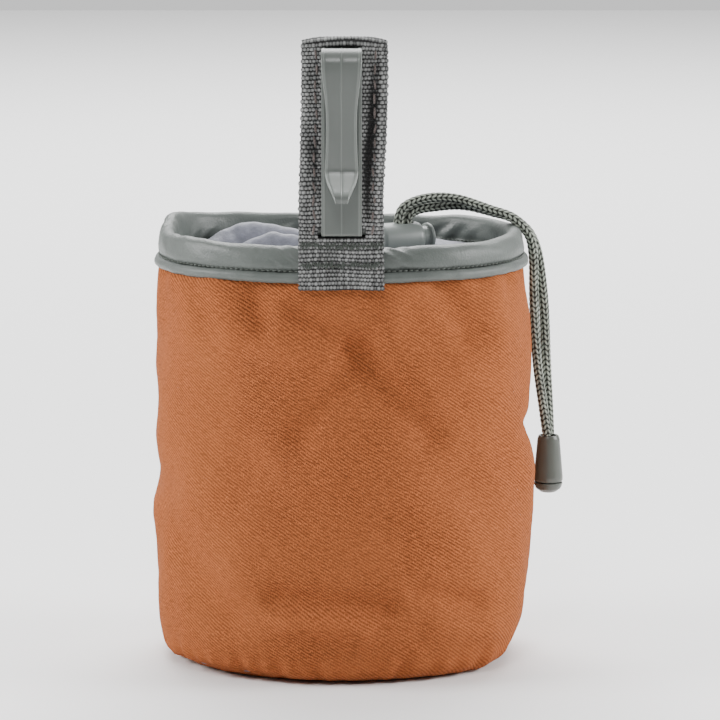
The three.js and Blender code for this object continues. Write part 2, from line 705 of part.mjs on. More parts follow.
// The plate and the bend at its top, in one outline of [y, z] points.
const BEND_INNER = BELT_SPACE / 2;
const BEND_CENTRE_Y = PLATE_FRONT_Y - BEND_INNER;
const BEND_CENTRE_Z = CLIP_TOP_Z - CLIP_TONGUE - BEND_INNER;
const TONGUE_TOP_Z = BEND_CENTRE_Z - 0.5;
const plateAndBend = acrossX(
  [
    [FLANGE_BACK_Y, CLIP_FOOT_Z],
    [FLANGE_BACK_Y, CLIP_TOP_Z - 1],
    [FLANGE_BACK_Y - 1, CLIP_TOP_Z],
    ...arc(BEND_CENTRE_Y, BEND_CENTRE_Z, BEND_INNER + CLIP_TONGUE, 90, 180, 6),
    [BEND_CENTRE_Y - BEND_INNER - CLIP_TONGUE, TONGUE_TOP_Z],
    [BEND_CENTRE_Y - BEND_INNER, TONGUE_TOP_Z],
    ...arc(BEND_CENTRE_Y, BEND_CENTRE_Z, BEND_INNER, 180, 0, 8),
    [PLATE_FRONT_Y, CLIP_FOOT_Z],
  ],
  STRAP_X - CLIP_WIDTH / 2,
  CLIP_WIDTH,
);
add("belt_clip_back_plate", toGeometry(toSolid(plateAndBend).add(toSolid(sewingFlange))), clipPlastic);

const TONGUE_FRONT_Y = TONGUE_BACK_Y - CLIP_TONGUE;
const HIP_BACK_Y = PLATE_FRONT_Y - TIP_SPACE;
const TONGUE_SPLIT_Z = TONGUE_TOP_Z - GAP;
const tongueSide = acrossX(
  [
    [TONGUE_BACK_Y, TONGUE_SPLIT_Z],
    [TONGUE_FRONT_Y, TONGUE_SPLIT_Z],
    [HIP_BACK_Y - CLIP_TONGUE, TONGUE_HIP_Z + 0.6],
    [HIP_BACK_Y - CLIP_TONGUE - TIP_KICK, TONGUE_TIP_Z + 0.4],
    [HIP_BACK_Y - CLIP_TONGUE - TIP_KICK + 0.8, TONGUE_TIP_Z],
    [HIP_BACK_Y - 0.7, TONGUE_HIP_Z - 2.4],
    [HIP_BACK_Y, TONGUE_HIP_Z],
  ],
  STRAP_X - CLIP_WIDTH,
  2 * CLIP_WIDTH,
);
const halfOutline = [
  [CLIP_WIDTH / 2 - 0.2, TONGUE_SPLIT_Z + 1],
  [CLIP_WIDTH / 2 - 0.2, TONGUE_SPLIT_Z - 3],
  [TONGUE_WAIST / 2 + 0.9, TONGUE_WAIST_Z + 10],
  [TONGUE_WAIST / 2, TONGUE_WAIST_Z],
  [TONGUE_WAIST / 2 + 0.2, TONGUE_WAIST_Z - 5],
  [TONGUE_HIP / 2, TONGUE_HIP_Z],
  [TONGUE_TIP / 2 + 0.5, TONGUE_TIP_Z + 1.6],
  [TONGUE_TIP / 2 - 0.5, TONGUE_TIP_Z - 0.1],
];
const frontOutline = new THREE.Shape(
  [
    ...halfOutline.map(([x, z]) => new THREE.Vector2(x, -z)),
    ...halfOutline.toReversed().map(([x, z]) => new THREE.Vector2(-x, -z)),
  ],
);
const OUTLINE_DEPTH = 30; // deep enough to take in the whole tongue
const tongueFront = new THREE.ExtrudeGeometry(frontOutline, {
  depth: OUTLINE_DEPTH,
  bevelEnabled: false,
});
tongueFront.rotateX(-Math.PI / 2).translate(STRAP_X, TONGUE_BACK_Y - OUTLINE_DEPTH / 2, 0);
add("belt_clip_tongue", toGeometry(toSolid(tongueSide).intersect(toSolid(tongueFront))), clipPlastic);

export default group;
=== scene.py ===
"""Looks of a drawstring treat pouch with a belt clip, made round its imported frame.

Laid out as an add-on: sizes and colours are properties, each piece has an operator, and the
panel lists them. Lengths in the functions are millimetres and become metres in the meshes.
The origin is the centre of the flat base, +Z is up, and the strap stands on the -Y side.
"""

import math

import bmesh
import bpy
import numpy as np
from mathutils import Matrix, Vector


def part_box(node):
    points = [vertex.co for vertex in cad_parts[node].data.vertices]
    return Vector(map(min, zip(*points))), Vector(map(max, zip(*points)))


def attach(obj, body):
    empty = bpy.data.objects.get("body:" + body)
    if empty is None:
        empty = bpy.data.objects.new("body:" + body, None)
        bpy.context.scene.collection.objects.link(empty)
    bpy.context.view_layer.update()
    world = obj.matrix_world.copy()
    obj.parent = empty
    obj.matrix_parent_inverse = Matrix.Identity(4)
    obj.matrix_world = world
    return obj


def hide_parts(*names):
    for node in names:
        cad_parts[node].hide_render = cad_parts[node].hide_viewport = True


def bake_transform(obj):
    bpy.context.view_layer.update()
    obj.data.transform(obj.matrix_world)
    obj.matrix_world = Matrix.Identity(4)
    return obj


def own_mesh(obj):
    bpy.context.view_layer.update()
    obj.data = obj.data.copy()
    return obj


bl_info = {
    "name": "Treat pouch",
    "version": (1, 0, 0),
    "blender": (4, 5, 0),
    "location": "View3D > Sidebar > Treat pouch",
    "description": "Builds the cloth, cords, webbing and mouldings of a treat pouch",
    "category": "Add Mesh",
}

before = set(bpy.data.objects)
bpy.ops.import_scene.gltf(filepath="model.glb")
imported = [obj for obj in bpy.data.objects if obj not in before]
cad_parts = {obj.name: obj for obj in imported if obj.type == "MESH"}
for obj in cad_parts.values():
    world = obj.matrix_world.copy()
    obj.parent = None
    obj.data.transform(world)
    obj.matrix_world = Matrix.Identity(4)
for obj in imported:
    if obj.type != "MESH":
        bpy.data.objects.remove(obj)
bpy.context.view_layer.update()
MM = 0.001
TAU = 2 * math.pi


def node_box(node):
    """Lowest and highest corner of a CAD node, in millimetres."""
    low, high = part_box(node)
    return np.array(low) / MM, np.array(high) / MM


# ---------- sizes read from the frame ----------
RIM_Z = node_box("rim_binding")[1][2]
STRAP_LOW, STRAP_HIGH = node_box("strap_upper_loop")
STRAP_FOOT = node_box("strap_front_layer_sewn_end")[0]
PLATE_LOW, PLATE_HIGH = node_box("belt_clip_back_plate")
BELL_TOP_Z = node_box("cord_end_bell")[1][2]
CAP_FOOT_Z = node_box("cord_end_cap")[0][2]

# ---------- the pouch's outline, as in the frame ----------
RIM_HALF_WIDTH = 55.4
RIM_HALF_DEPTH = 43.5
FRONT_SQUARENESS = 2.1
BACK_SQUARENESS = 2.7
BULGE = 3.1
BULGE_RISE = 0.7
BASE_INSET = 5.6
BASE_ROUND = 15.0
SIDE_LEAN = 1.2
PIPING_Z = 124.4
PIPING_RADIUS = 1.62
RIM_THICKNESS = 4.9
STITCH_PITCH = 1.7


def wall_size(z):
    """Half width, half depth and lean of the wall at height z: a sine swell less a round corner."""
    up = np.clip(z / RIM_Z, 0, 1)
    swell = np.sin(math.pi * up**BULGE_RISE)
    low = np.clip(1 - z / BASE_ROUND, 0, 1)
    inset = BASE_INSET * (1 - np.sqrt(1 - low * low))
    return (
        RIM_HALF_WIDTH + BULGE * swell - inset,
        RIM_HALF_DEPTH + BULGE * swell - inset,
        SIDE_LEAN * swell,
    )


def wall_point(angle, z, outward=0.0):
    """Points of the superellipse |x/a|^n + |y/b|^n = 1 at each angle, moved out along its normal."""
    half_width, half_depth, lean = wall_size(z)
    c, s = np.cos(angle), np.sin(angle)
    power = 2 / np.where(s < 0, FRONT_SQUARENESS, BACK_SQUARENESS)
    x = half_width * np.sign(c) * np.abs(c) ** power
    y = half_depth * np.sign(s) * np.abs(s) ** power
    nx = np.sign(c) * np.abs(c) ** (2 - power) / half_width
    ny = np.sign(s) * np.abs(s) ** (2 - power) / half_depth
    n = np.hypot(nx, ny)
    x, y = x + lean + outward * nx / n, y + outward * ny / n
    return np.stack([x, y, z + 0 * x], axis=-1)


def even_angles(count, z=60.0):
    """Angles that part the outline into equal lengths, starting at the back seam (+Y)."""
    fine = np.linspace(0, TAU, 4001) + math.pi / 2
    ring = wall_point(fine, np.full_like(fine, z))
    steps = np.linalg.norm(np.diff(ring, axis=0), axis=1)
    length = np.concatenate([[0], np.cumsum(steps)])
    wanted = np.linspace(0, length[-1], count + 1)[:-1]
    return np.interp(wanted, length, fine), length[-1]


# ---------- meshes ----------
def new_object(name, mesh):
    """An object that shows the mesh, linked to the scene."""
    obj = bpy.data.objects.new(name, mesh)
    bpy.context.scene.collection.objects.link(obj)
    return obj


def mesh_from(name, points, faces, uv=None):
    """A mesh of points in millimetres and faces of 3 or 4 corners; uv holds one pair for each corner."""
    points = np.asarray(points, float).reshape(-1, 3) * MM
    mesh = bpy.data.meshes.new(name)
    mesh.vertices.add(len(points))
    mesh.vertices.foreach_set("co", points.ravel())
    faces = [np.asarray(f, int) for f in faces if len(f)]
    corners = np.concatenate([f.ravel() for f in faces])
    sizes = np.concatenate([np.full(len(f), f.shape[1]) for f in faces])
    mesh.loops.add(len(corners))
    mesh.loops.foreach_set("vertex_index", corners)
    mesh.polygons.add(len(sizes))
    mesh.polygons.foreach_set("loop_start", np.concatenate([[0], np.cumsum(sizes)[:-1]]))
    mesh.polygons.foreach_set("use_smooth", np.ones(len(sizes), bool))
    mesh.update(calc_edges=True)
    if uv is not None:
        layer = mesh.uv_layers.new(name="along")
        layer.data.foreach_set("uv", np.asarray(uv, float).ravel())
    mesh.validate()
    return mesh


def quads(rows, cols, wrap_rows=False, wrap_cols=False, offset=0):
    """Corner numbers of a grid's quads, and the same corners in a grid that is not wrapped."""
    r = np.arange(rows if wrap_rows else rows - 1)
    c = np.arange(cols if wrap_cols else cols - 1)
    r, c = np.meshgrid(r, c, indexing="ij")
    around = [(r, c), (r, c + 1), (r + 1, c + 1), (r + 1, c)]
    faces = np.stack([(i % rows) * cols + (j % cols) for i, j in around], -1).reshape(-1, 4)
    flat = np.stack([i * (cols + 1) + j for i, j in around], -1).reshape(-1, 4)
    return faces + offset, flat


def surface(name, points, wrap_rows=False, wrap_cols=False, uv_size=None, uv=None, caps=False):
    """A grid of points, wrapped where asked. uv_size is the cloth's size over the whole grid."""
    points = np.asarray(points, float)
    rows, cols = points.shape[:2]
    faces, flat = quads(rows, cols, wrap_rows, wrap_cols)
    verts = points.reshape(-1, 3)
    sets = [faces]
    if uv is None:
        u, v = uv_size or (1, 1)
        gu = np.linspace(0, u, rows + 1 if wrap_rows else rows)
        gv = np.linspace(0, v, cols + 1 if wrap_cols else cols)
        grid = np.stack(np.meshgrid(gu, gv, indexing="ij"), -1)
    else:
        grid = np.asarray(uv, float)
    padded = np.zeros((rows + 1, cols + 1, 2))
    padded[: grid.shape[0], : grid.shape[1]] = grid
    corner_uv = padded.reshape(-1, 2)[flat.ravel()]
    if caps:
        # a fan closes each end of a tube whose rows are its rings
        ends = np.stack([points[0].mean(0), points[-1].mean(0)])
        first, last = len(verts), len(verts) + 1
        verts = np.concatenate([verts, ends])
        ring = np.arange(cols)
        after = (ring + 1) % cols
        start = np.stack([after, ring, np.full(cols, first)], -1)
        base = (rows - 1) * cols
        end = np.stack([base + ring, base + after, np.full(cols, last)], -1)
        sets.append(np.concatenate([start, end]))
        corner_uv = np.concatenate([corner_uv, np.zeros((6 * cols, 2))])
    return mesh_from(name, verts, sets, corner_uv)


def finish_piece(obj, body, material, replaces=()):
    """Gives a piece its material and slot, lets it ride on a body and stand for its CAD nodes."""
    obj.data.materials.clear()
    obj.data.materials.append(material)
    if body:
        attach(obj, body)
    if replaces:
        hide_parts(*replaces)
    return obj


# ---------- repeatable noise ----------
def waves(points, seed, count, shortest, longest):
    """Smooth noise: a sum of `count` sine waves of random direction, phase and length."""
    rng = np.random.default_rng(seed)
    out = np.zeros(points.shape[:-1])
    for _ in range(count):
        direction = rng.normal(size=3)
        direction /= np.linalg.norm(direction)
        length = math.exp(rng.uniform(math.log(shortest), math.log(longest)))
        out += np.sin(points @ direction * TAU / length + rng.uniform(0, TAU))
    return out / math.sqrt(count)


def crease(x, z, start, end, width):
    """A ridge of height 1 along the line from start to end, falling off as a bell curve."""
    (x0, z0), (x1, z1) = start, end
    along = np.array([x1 - x0, z1 - z0], float)
    span = float(np.hypot(*along))
    t = np.clip(((x - x0) * along[0] + (z - z0) * along[1]) / span**2, 0, 1)
    distance = np.hypot(x - x0 - t * along[0], z - z0 - t * along[1])
    return np.exp(-((distance / width) ** 2))


# ---------- paths ----------
def smooth_path(points, spacing):
    """A centripetal Catmull-Rom curve through the points, cut into equal steps."""
    p = np.asarray(points, float)
    p = np.concatenate([[2 * p[0] - p[1]], p, [2 * p[-1] - p[-2]]])
    out = []
    for a, b, c, d in zip(p[:-3], p[1:-2], p[2:-1], p[3:]):
        t0 = 0.0
        t1 = t0 + math.sqrt(np.linalg.norm(b - a))
        t2 = t1 + math.sqrt(np.linalg.norm(c - b))
        t3 = t2 + math.sqrt(np.linalg.norm(d - c))
        t = np.linspace(t1, t2, 40, endpoint=False)[:, None]
        a1 = (t1 - t) / (t1 - t0) * a + (t - t0) / (t1 - t0) * b
        a2 = (t2 - t) / (t2 - t1) * b + (t - t1) / (t2 - t1) * c
        a3 = (t3 - t) / (t3 - t2) * c + (t - t2) / (t3 - t2) * d
        b1 = (t2 - t) / (t2 - t0) * a1 + (t - t0) / (t2 - t0) * a2
        b2 = (t3 - t) / (t3 - t1) * a2 + (t - t1) / (t3 - t1) * a3
        out.append((t2 - t) / (t2 - t1) * b1 + (t - t1) / (t2 - t1) * b2)
    out.append(p[-2:-1])
    return even_steps(np.concatenate(out), spacing)


def even_steps(path, spacing):
    """The same polyline with its points at equal distances, about `spacing` apart."""
    steps = np.linalg.norm(np.diff(path, axis=0), axis=1)
    length = np.concatenate([[0], np.cumsum(steps)])
    count = max(2, int(round(length[-1] / spacing)) + 1)
    wanted = np.linspace(0, length[-1], count)
    return np.stack([np.interp(wanted, length, path[:, i]) for i in range(3)], -1)


def path_length(path):
    """The sum of the distances from each point of a path to the next."""
    return float(np.linalg.norm(np.diff(path, axis=0), axis=1).sum())


def path_frames(path, up=(0.0, 1.0, 0.0)):
    """Tangents, and two normals that turn as little as they can along the path."""
    tangent = np.gradient(path, axis=0)
    tangent /= np.linalg.norm(tangent, axis=1, keepdims=True)
    normal = np.zeros_like(path)
    side = np.asarray(up, float)
    for i, t in enumerate(tangent):
        side = side - t * (side @ t)
        side /= np.linalg.norm(side)
        normal[i] = side
    return tangent, normal, np.cross(tangent, normal)


def tube_points(path, radius, around, up=(0.0, 1.0, 0.0)):
    """Rings round a path: centre + radius * (cos a * normal + sin a * binormal)."""
    _, normal, binormal = path_frames(path, up)
    a = np.arange(around) * TAU / around
    radius = np.broadcast_to(radius, (len(path), around))[..., None]
    ring = np.cos(a)[None, :, None] * normal[:, None] + np.sin(a)[None, :, None] * binormal[:, None]
    return path[:, None] + radius * ring


# ---------- materials ----------
class Recipe:
    """A material under way: its Principled shader and short calls that add nodes to it."""

    def __init__(self, name, roughness, specular=0.5, sheen=0.0):
        self.material = bpy.data.materials.new(name)
        self.material.use_nodes = True
        self.tree = self.material.node_tree
        self.tree.nodes.clear()
        self.shader = self.new("ShaderNodeBsdfPrincipled")
        output = self.new("ShaderNodeOutputMaterial")
        self.tree.links.new(self.shader.outputs[0], output.inputs[0])
        self.shader.inputs["Roughness"].default_value = roughness
        self.shader.inputs["Specular IOR Level"].default_value = specular
        self.shader.inputs["Sheen Weight"].default_value = sheen

    def new(self, kind, **settings):
        """A node of that kind, with its settings."""
        node = self.tree.nodes.new(kind)
        for key, value in settings.items():
            setattr(node, key, value)
        return node

    def feed(self, socket, value):
        """Links a socket to the input, or sets the input to a plain value."""
        if isinstance(value, bpy.types.NodeSocket):
            self.tree.links.new(value, socket)
        else:
            socket.default_value = value

    def math(self, operation, a, b=0.0):
        """One arithmetic step on two values."""
        node = self.new("ShaderNodeMath", operation=operation)
        self.feed(node.inputs[0], a)
        self.feed(node.inputs[1], b)
        return node.outputs[0]

    def mix(self, share, a, b):
        """Colour a where the share is 0, colour b where it is 1."""
        node = self.new("ShaderNodeMix", data_type="RGBA")
        self.feed(node.inputs["Factor"], share)
        self.feed(node.inputs[6], a)
        self.feed(node.inputs[7], b)
        return node.outputs[2]

    def span(self, value, low, high, to_low=0.0, to_high=1.0):
        """The value carried in a straight line from low..high to to_low..to_high, and held there."""
        node = self.new("ShaderNodeMapRange")
        for socket, number in zip(node.inputs, (value, low, high, to_low, to_high)):
            self.feed(socket, number)
        return node.outputs[0]

    def place(self):
        """Object coordinates in millimetres."""
        coordinate = self.new("ShaderNodeTexCoord")
        return self.stretch(coordinate.outputs["Object"], (1 / MM,) * 3)

    def along(self):
        """The piece's own UV map, in millimetres of cloth."""
        return self.new("ShaderNodeUVMap", uv_map="along").outputs[0]

    def stretch(self, coordinates, scale):
        """The coordinates multiplied along each axis."""
        node = self.new("ShaderNodeMapping")
        self.feed(node.inputs["Vector"], coordinates)
        node.inputs["Scale"].default_value = scale
        return node.outputs[0]

    def noise(self, coordinates, size, detail=2.0):
        """Cloudy noise whose lumps are about `size` millimetres."""
        node = self.new("ShaderNodeTexNoise")
        self.feed(node.inputs["Vector"], coordinates)
        node.inputs["Scale"].default_value = 1 / size
        node.inputs["Detail"].default_value = detail
        return node.outputs[0]

    def cells(self, coordinates, size, feature="F1"):
        """Distance to the nearest of points scattered about `size` millimetres apart."""
        node = self.new("ShaderNodeTexVoronoi", feature=feature)
        self.feed(node.inputs["Vector"], coordinates)
        node.inputs["Scale"].default_value = 1 / size
        return node.outputs[0]

    def parts(self, vector):
        """The vector's three numbers."""
        node = self.new("ShaderNodeSeparateXYZ")
        self.feed(node.inputs[0], vector)
        return node.outputs

    def wave(self, value, pitch, shift=0.0):
        """0.5 + 0.5 sin(2 pi value / pitch + shift)."""
        turn = self.math("MULTIPLY", value, TAU / pitch)
        sine = self.math("SINE", self.math("ADD", turn, shift))
        return self.math("ADD", self.math("MULTIPLY", sine, 0.5), 0.5)

    def attribute(self, name):
        """A number stored at the mesh's points."""
        return self.new("ShaderNodeAttribute", attribute_name=name).outputs["Fac"]

    def colour(self, value):
        """Sets the base colour."""
        self.feed(self.shader.inputs["Base Color"], value)

    def roughness(self, value):
        """Sets the roughness."""
        self.feed(self.shader.inputs["Roughness"], value)

    def bump(self, height, depth, strength=1.0):
        """Bump of `depth` millimetres for a height of 1, added to any bump before it."""
        node = self.new("ShaderNodeBump")
        node.inputs["Strength"].default_value = strength
        node.inputs["Distance"].default_value = depth * MM
        self.feed(node.inputs["Height"], height)
        normal = self.shader.inputs["Normal"]
        if normal.links:
            self.tree.links.new(normal.links[0].from_socket, node.inputs["Normal"])
        self.tree.links.new(node.outputs[0], normal)


def shade(colour, factor):
    """The colour with its brightness multiplied, with alpha 1."""
    return tuple(c * factor for c in colour[:3]) + (1.0,)


def twill_material(colour):
    """Cotton twill: ribs at a slant, cut into short threads, with painted shade in the rib hollows and
    painted highlight on their tops, flecks, fading and soft wear.
    """
    m = Recipe("rust cotton twill", 0.95, specular=0.06)
    u, v, _ = m.parts(m.along())
    wander = m.noise(m.along(), 9.0, 2)
    slant = math.radians(32)
    across = m.math(
        "ADD", m.math("MULTIPLY", u, math.sin(slant)), m.math("MULTIPLY", v, math.cos(slant))
    )
    across = m.math("ADD", across, m.math("MULTIPLY", wander, 0.9))
    rib = m.wave(across, 0.86)
    thread = m.wave(u, 0.52, m.math("MULTIPLY", m.noise(m.along(), 2.0, 1), 5.0))
    lift = m.math("MULTIPLY", rib, m.math("ADD", m.math("MULTIPLY", thread, 0.35), 0.65))
    fleck = m.noise(m.stretch(m.along(), (1.6, 0.55, 1)), 0.5, 3)
    slub = m.noise(m.stretch(m.along(), (0.35, 1.6, 1)), 1.1, 3)
    patch = m.noise(m.place(), 26.0, 3)
    # painted shade and highlight: the rib hollows at half the colour, the rib tops lighter
    base = m.mix(m.span(lift, 0.1, 0.8), shade(colour, 0.5), shade(colour, 1.34))
    base = m.mix(m.span(fleck, 0.52, 0.7), base, shade(colour, 1.7))
    base = m.mix(m.span(slub, 0.5, 0.72, 0, 0.65), base, shade(colour, 0.42))
    faded = shade((colour[0], colour[1] * 1.06, colour[2] * 1.1), 1.18)
    base = m.mix(m.span(patch, 0.35, 0.7, 0, 0.32), base, faded)
    worn = m.attribute("worn")
    base = m.mix(m.math("MULTIPLY", worn, 0.3), base, shade(colour, 1.45))
    m.colour(base)
    m.bump(lift, 0.16, 0.8)
    m.bump(fleck, 0.08, 0.5)
    return m.material


def leatherette_material(colour):
    """Coated cloth: fine pebbled grain, faint creases with painted highlight on their ridges, and a soft
    sheen that varies.
    """
    m = Recipe("grey leatherette", 0.46, specular=0.42)
    grain = m.cells(m.place(), 0.55, "SMOOTH_F1")
    pores = m.noise(m.place(), 0.22, 2)
    crumple = m.noise(m.place(), 3.4, 4)
    patch = m.noise(m.place(), 17.0, 3)
    base = m.mix(m.span(patch, 0.3, 0.72), shade(colour, 0.88), shade(colour, 1.12))
    # painted highlight: lighter where the crumple bump is high, on the ridges
    base = m.mix(m.span(crumple, 0.5, 0.75, 0, 0.3), base, shade(colour, 1.3))
    base = m.mix(m.span(pores, 0.6, 0.8, 0, 0.3), base, shade(colour, 0.62))
    m.colour(base)
    m.roughness(m.span(m.math("ADD", patch, pores), 0.7, 1.3, 0.36, 0.56))
    m.bump(grain, 0.1, 0.7)
    m.bump(crumple, 0.5, 0.35)
    return m.material


def nylon_material(colour):
    """Thin plain-woven nylon: a fine square weave with painted highlight on its raised threads, faint
    crumples with painted shade in their hollows, and a cool sheen.
    """
    m = Recipe("lavender nylon lining", 0.52, specular=0.35, sheen=0.25)
    u, v, _ = m.parts(m.along())
    weave = m.math("MULTIPLY", m.wave(u, 0.42), m.wave(v, 0.42))
    crumple = m.noise(m.place(), 2.6, 4)
    patch = m.noise(m.place(), 14.0, 2)
    # painted highlight: the weave's raised threads lighter, its hollows darker
    base = m.mix(m.span(weave, 0, 1), shade(colour, 0.8), shade(colour, 1.15))
    base = m.mix(m.span(patch, 0.35, 0.7, 0, 0.5), base, shade(colour, 0.82))
    # painted shade: darker where the crumple bump is low, in its hollows
    base = m.mix(m.span(crumple, 0.45, 0.62, 0.6, 0), base, shade(colour, 0.6))
    m.colour(base)
    m.bump(weave, 0.05, 0.6)
    m.bump(crumple, 0.5, 0.6)
    return m.material


def yarn_material(name, dark, light, roughness=0.75, fibre=0.12, low=0.12):
    """Yarn coloured from the piece's `lift`: its own colour on the tops and painted shade, near black, in
    the hollows between yarns, with fine fibres.
    """
    m = Recipe(name, roughness, specular=0.3, sheen=0.1)
    lift = m.attribute("lift")
    fuzz = m.noise(m.place(), fibre, 3)
    patch = m.noise(m.place(), 6.0, 2)
    level = m.math("ADD", lift, m.math("MULTIPLY", m.math("SUBTRACT", fuzz, 0.5), 0.55))
    level = m.math("MULTIPLY", level, m.span(patch, 0.3, 0.7, 0.82, 1.12))
    # painted shade: where the lift is low, between the yarns, the colour goes to the near-black `dark`
    m.colour(m.mix(m.span(level, low, 0.98), dark, light))
    m.bump(fuzz, 0.1, 0.7)
    return m.material


def moulded_material(name, colour, roughness, specular=0.45):
    """Moulded plastic: faint flow mottling, fine spark texture, painted highlight where the `edge`
    attribute is high, and faint random scuffs.
    """
    m = Recipe(name, roughness, specular=specular)
    flow = m.noise(m.stretch(m.place(), (1, 1, 0.35)), 4.0, 3)
    spark = m.noise(m.place(), 0.14, 2)
    scuff = m.noise(m.place(), 1.7, 3)
    edge = m.attribute("edge")
    base = m.mix(m.span(flow, 0.2, 0.8), shade(colour, 0.96), shade(colour, 1.05))
    # painted highlight: the `edge` attribute lightens the clip's lips, middle line, tip facet and corners
    base = m.mix(m.span(edge, 0.2, 1.0, 0, 0.6), base, shade(colour, 2.4))
    base = m.mix(m.span(scuff, 0.3, 0.9, 0, 0.12), base, shade(colour, 1.2))
    m.colour(base)
    m.roughness(m.span(flow, 0.2, 0.8, roughness - 0.01, roughness + 0.03))
    m.bump(spark, 0.02, 0.5)
    return m.material


def thread_material(name, colour):
    """Sewing thread: two twisted plies, with painted highlight where they stand up and painted shade
    between them.
    """
    m = Recipe(name, 0.6, specular=0.35, sheen=0.15)
    u, v, _ = m.parts(m.along())
    ply = m.wave(m.math("ADD", u, v), 0.45)
    fuzz = m.noise(m.place(), 0.2, 2)
    # painted highlight on the raised plies and painted shade in the grooves between them
    m.colour(m.mix(m.math("MULTIPLY", ply, fuzz), shade(colour, 0.65), shade(colour, 1.6)))
    m.bump(ply, 0.04, 0.7)
    return m.material


def steel_material():
    """Drawn spring wire with fine marks along it."""
    m = Recipe("spring wire", 0.28)
    m.shader.inputs["Metallic"].default_value = 1.0
    mark = m.noise(m.stretch(m.place(), (1, 1, 4)), 0.3, 3)
    m.colour(m.mix(mark, (0.42, 0.42, 0.43, 1), (0.6, 0.6, 0.61, 1)))
    m.bump(mark, 0.01, 0.5)
    return m.material


def floor_material():
    """Plain pale studio floor with the faintest paper grain."""
    m = Recipe("pale floor", 0.9, specular=0.1)
    grain = m.noise(m.place(), 0.8, 2)
    m.colour(m.mix(grain, (0.86, 0.86, 0.86, 1), (0.9, 0.9, 0.9, 1)))
    return m.material


# ---------- settings ----------
class PouchBagSettings(bpy.types.PropertyGroup):
    """Cloth of the bag and its rim."""

    twill: bpy.props.FloatVectorProperty(
        name="Twill", description="Colour of the outer cloth", subtype="COLOR", size=3,
        default=(0.30, 0.09, 0.0315), min=0, max=1,
    )
    leatherette: bpy.props.FloatVectorProperty(
        name="Leatherette", description="Colour of the rim and piping", subtype="COLOR", size=3,
        default=(0.087, 0.099, 0.091), min=0, max=1,
    )
    nylon: bpy.props.FloatVectorProperty(
        name="Lining", description="Colour of the lining and cuff", subtype="COLOR", size=3,
        default=(0.172, 0.18, 0.224), min=0, max=1,
    )
    fold_depth: bpy.props.FloatProperty(
        name="Fold depth", description="How deep the soft folds of the bag are, in millimetres",
        default=1.0, min=0, max=3,
    )
    pucker: bpy.props.FloatProperty(
        name="Pucker", description="Gathering at the seams, in millimetres", default=0.55, min=0, max=2,
    )


class PouchCordSettings(bpy.types.PropertyGroup):
    """The drawcord, its lock and its end."""

    diameter: bpy.props.FloatProperty(
        name="Cord", description="Diameter of the drawcord", default=3.0 * MM, unit="LENGTH",
    )
    # painted shade: `dark` is the near-black colour painted in the hollows between the braid's yarns
    dark: bpy.props.FloatVectorProperty(
        name="Cord hollows", description="Colour between the braid's yarns", subtype="COLOR", size=3,
        default=(0.008, 0.009, 0.006), min=0, max=1,
    )
    light: bpy.props.FloatVectorProperty(
        name="Cord yarns", description="Colour on top of the braid's yarns", subtype="COLOR", size=3,
        default=(0.36, 0.39, 0.33), min=0, max=1,
    )
    lock: bpy.props.FloatVectorProperty(
        name="Cord lock", description="Colour of the cord lock", subtype="COLOR", size=3,
        default=(0.17, 0.19, 0.178), min=0, max=1,
    )
    bell: bpy.props.FloatVectorProperty(
        name="Cord end", description="Colour of the bell at the cord's end", subtype="COLOR", size=3,
        default=(0.075, 0.081, 0.070), min=0, max=1,
    )


class PouchStrapSettings(bpy.types.PropertyGroup):
    """The webbing strap and the belt clip."""

    # painted shade: `dark` is the near-black colour painted in the hollows between the webbing's ribs
    dark: bpy.props.FloatVectorProperty(
        name="Webbing hollows", description="Colour between the webbing's ribs", subtype="COLOR", size=3,
        default=(0.008, 0.008, 0.008), min=0, max=1,
    )
    light: bpy.props.FloatVectorProperty(
        name="Webbing ribs", description="Colour on top of the webbing's ribs", subtype="COLOR", size=3,
        default=(0.33, 0.336, 0.33), min=0, max=1,
    )
    clip: bpy.props.FloatVectorProperty(
        name="Clip", description="Colour of the belt clip", subtype="COLOR", size=3,
        default=(0.098, 0.108, 0.1), min=0, max=1,
    )
    rib_pitch: bpy.props.FloatProperty(
        name="Rib pitch", description="Distance from one rib of the webbing to the next",
        default=1.2 * MM, unit="LENGTH",
    )


def bag_settings():
    """Sizes and colours of the bag and its rim."""
    return bpy.context.scene.pouch_bag


def cord_settings():
    """Sizes and colours of the drawcord and its fittings."""
    return bpy.context.scene.pouch_cord


def strap_settings():
    """Sizes and colours of the strap and its clip."""
    return bpy.context.scene.pouch_strap


# ---------- camera, light and floor ----------
def make_stage():
    """A long lens from in front and a little above, two large side lights, a top light and a floor."""
    scene = bpy.context.scene
    camera_data = bpy.data.cameras.new("camera")
    camera_data.lens = 186
    camera_data.sensor_width = 36
    camera = bpy.data.objects.new("camera", camera_data)
    scene.collection.objects.link(camera)
    rise, distance = math.radians(9.2), 1.150
    camera.location = (0.0059, -distance * math.cos(rise), 0.0928 + distance * math.sin(rise))
    camera.rotation_euler = (math.pi / 2 - rise, 0, 0)
    scene.camera = camera

    make_world(scene)
    add_light("left_softbox", (-0.68, -0.12, 0.42), (0, 0, 0.08), 0.3, 6.0)
    add_light("right_softbox", (0.72, -0.08, 0.36), (0, 0, 0.08), 0.3, 6.5)
    add_light("top_softbox", (-0.06, -0.62, 0.74), (0, 0.0, 0.1), 0.22, 2.7)
    add_light("back_softbox", (0.0, 1.3, 1.5), (0, 1.0, 0), 1.6, 80.0)

    corners = np.array([[-3000, -3000, 0], [3000, -3000, 0], [3000, 3000, 0], [-3000, 3000, 0]])
    floor = new_object("floor", mesh_from("floor", corners, [np.array([[0, 1, 2, 3]])]))
    floor.data.materials.append(floor_material())
    floor.location.z = -0.0002


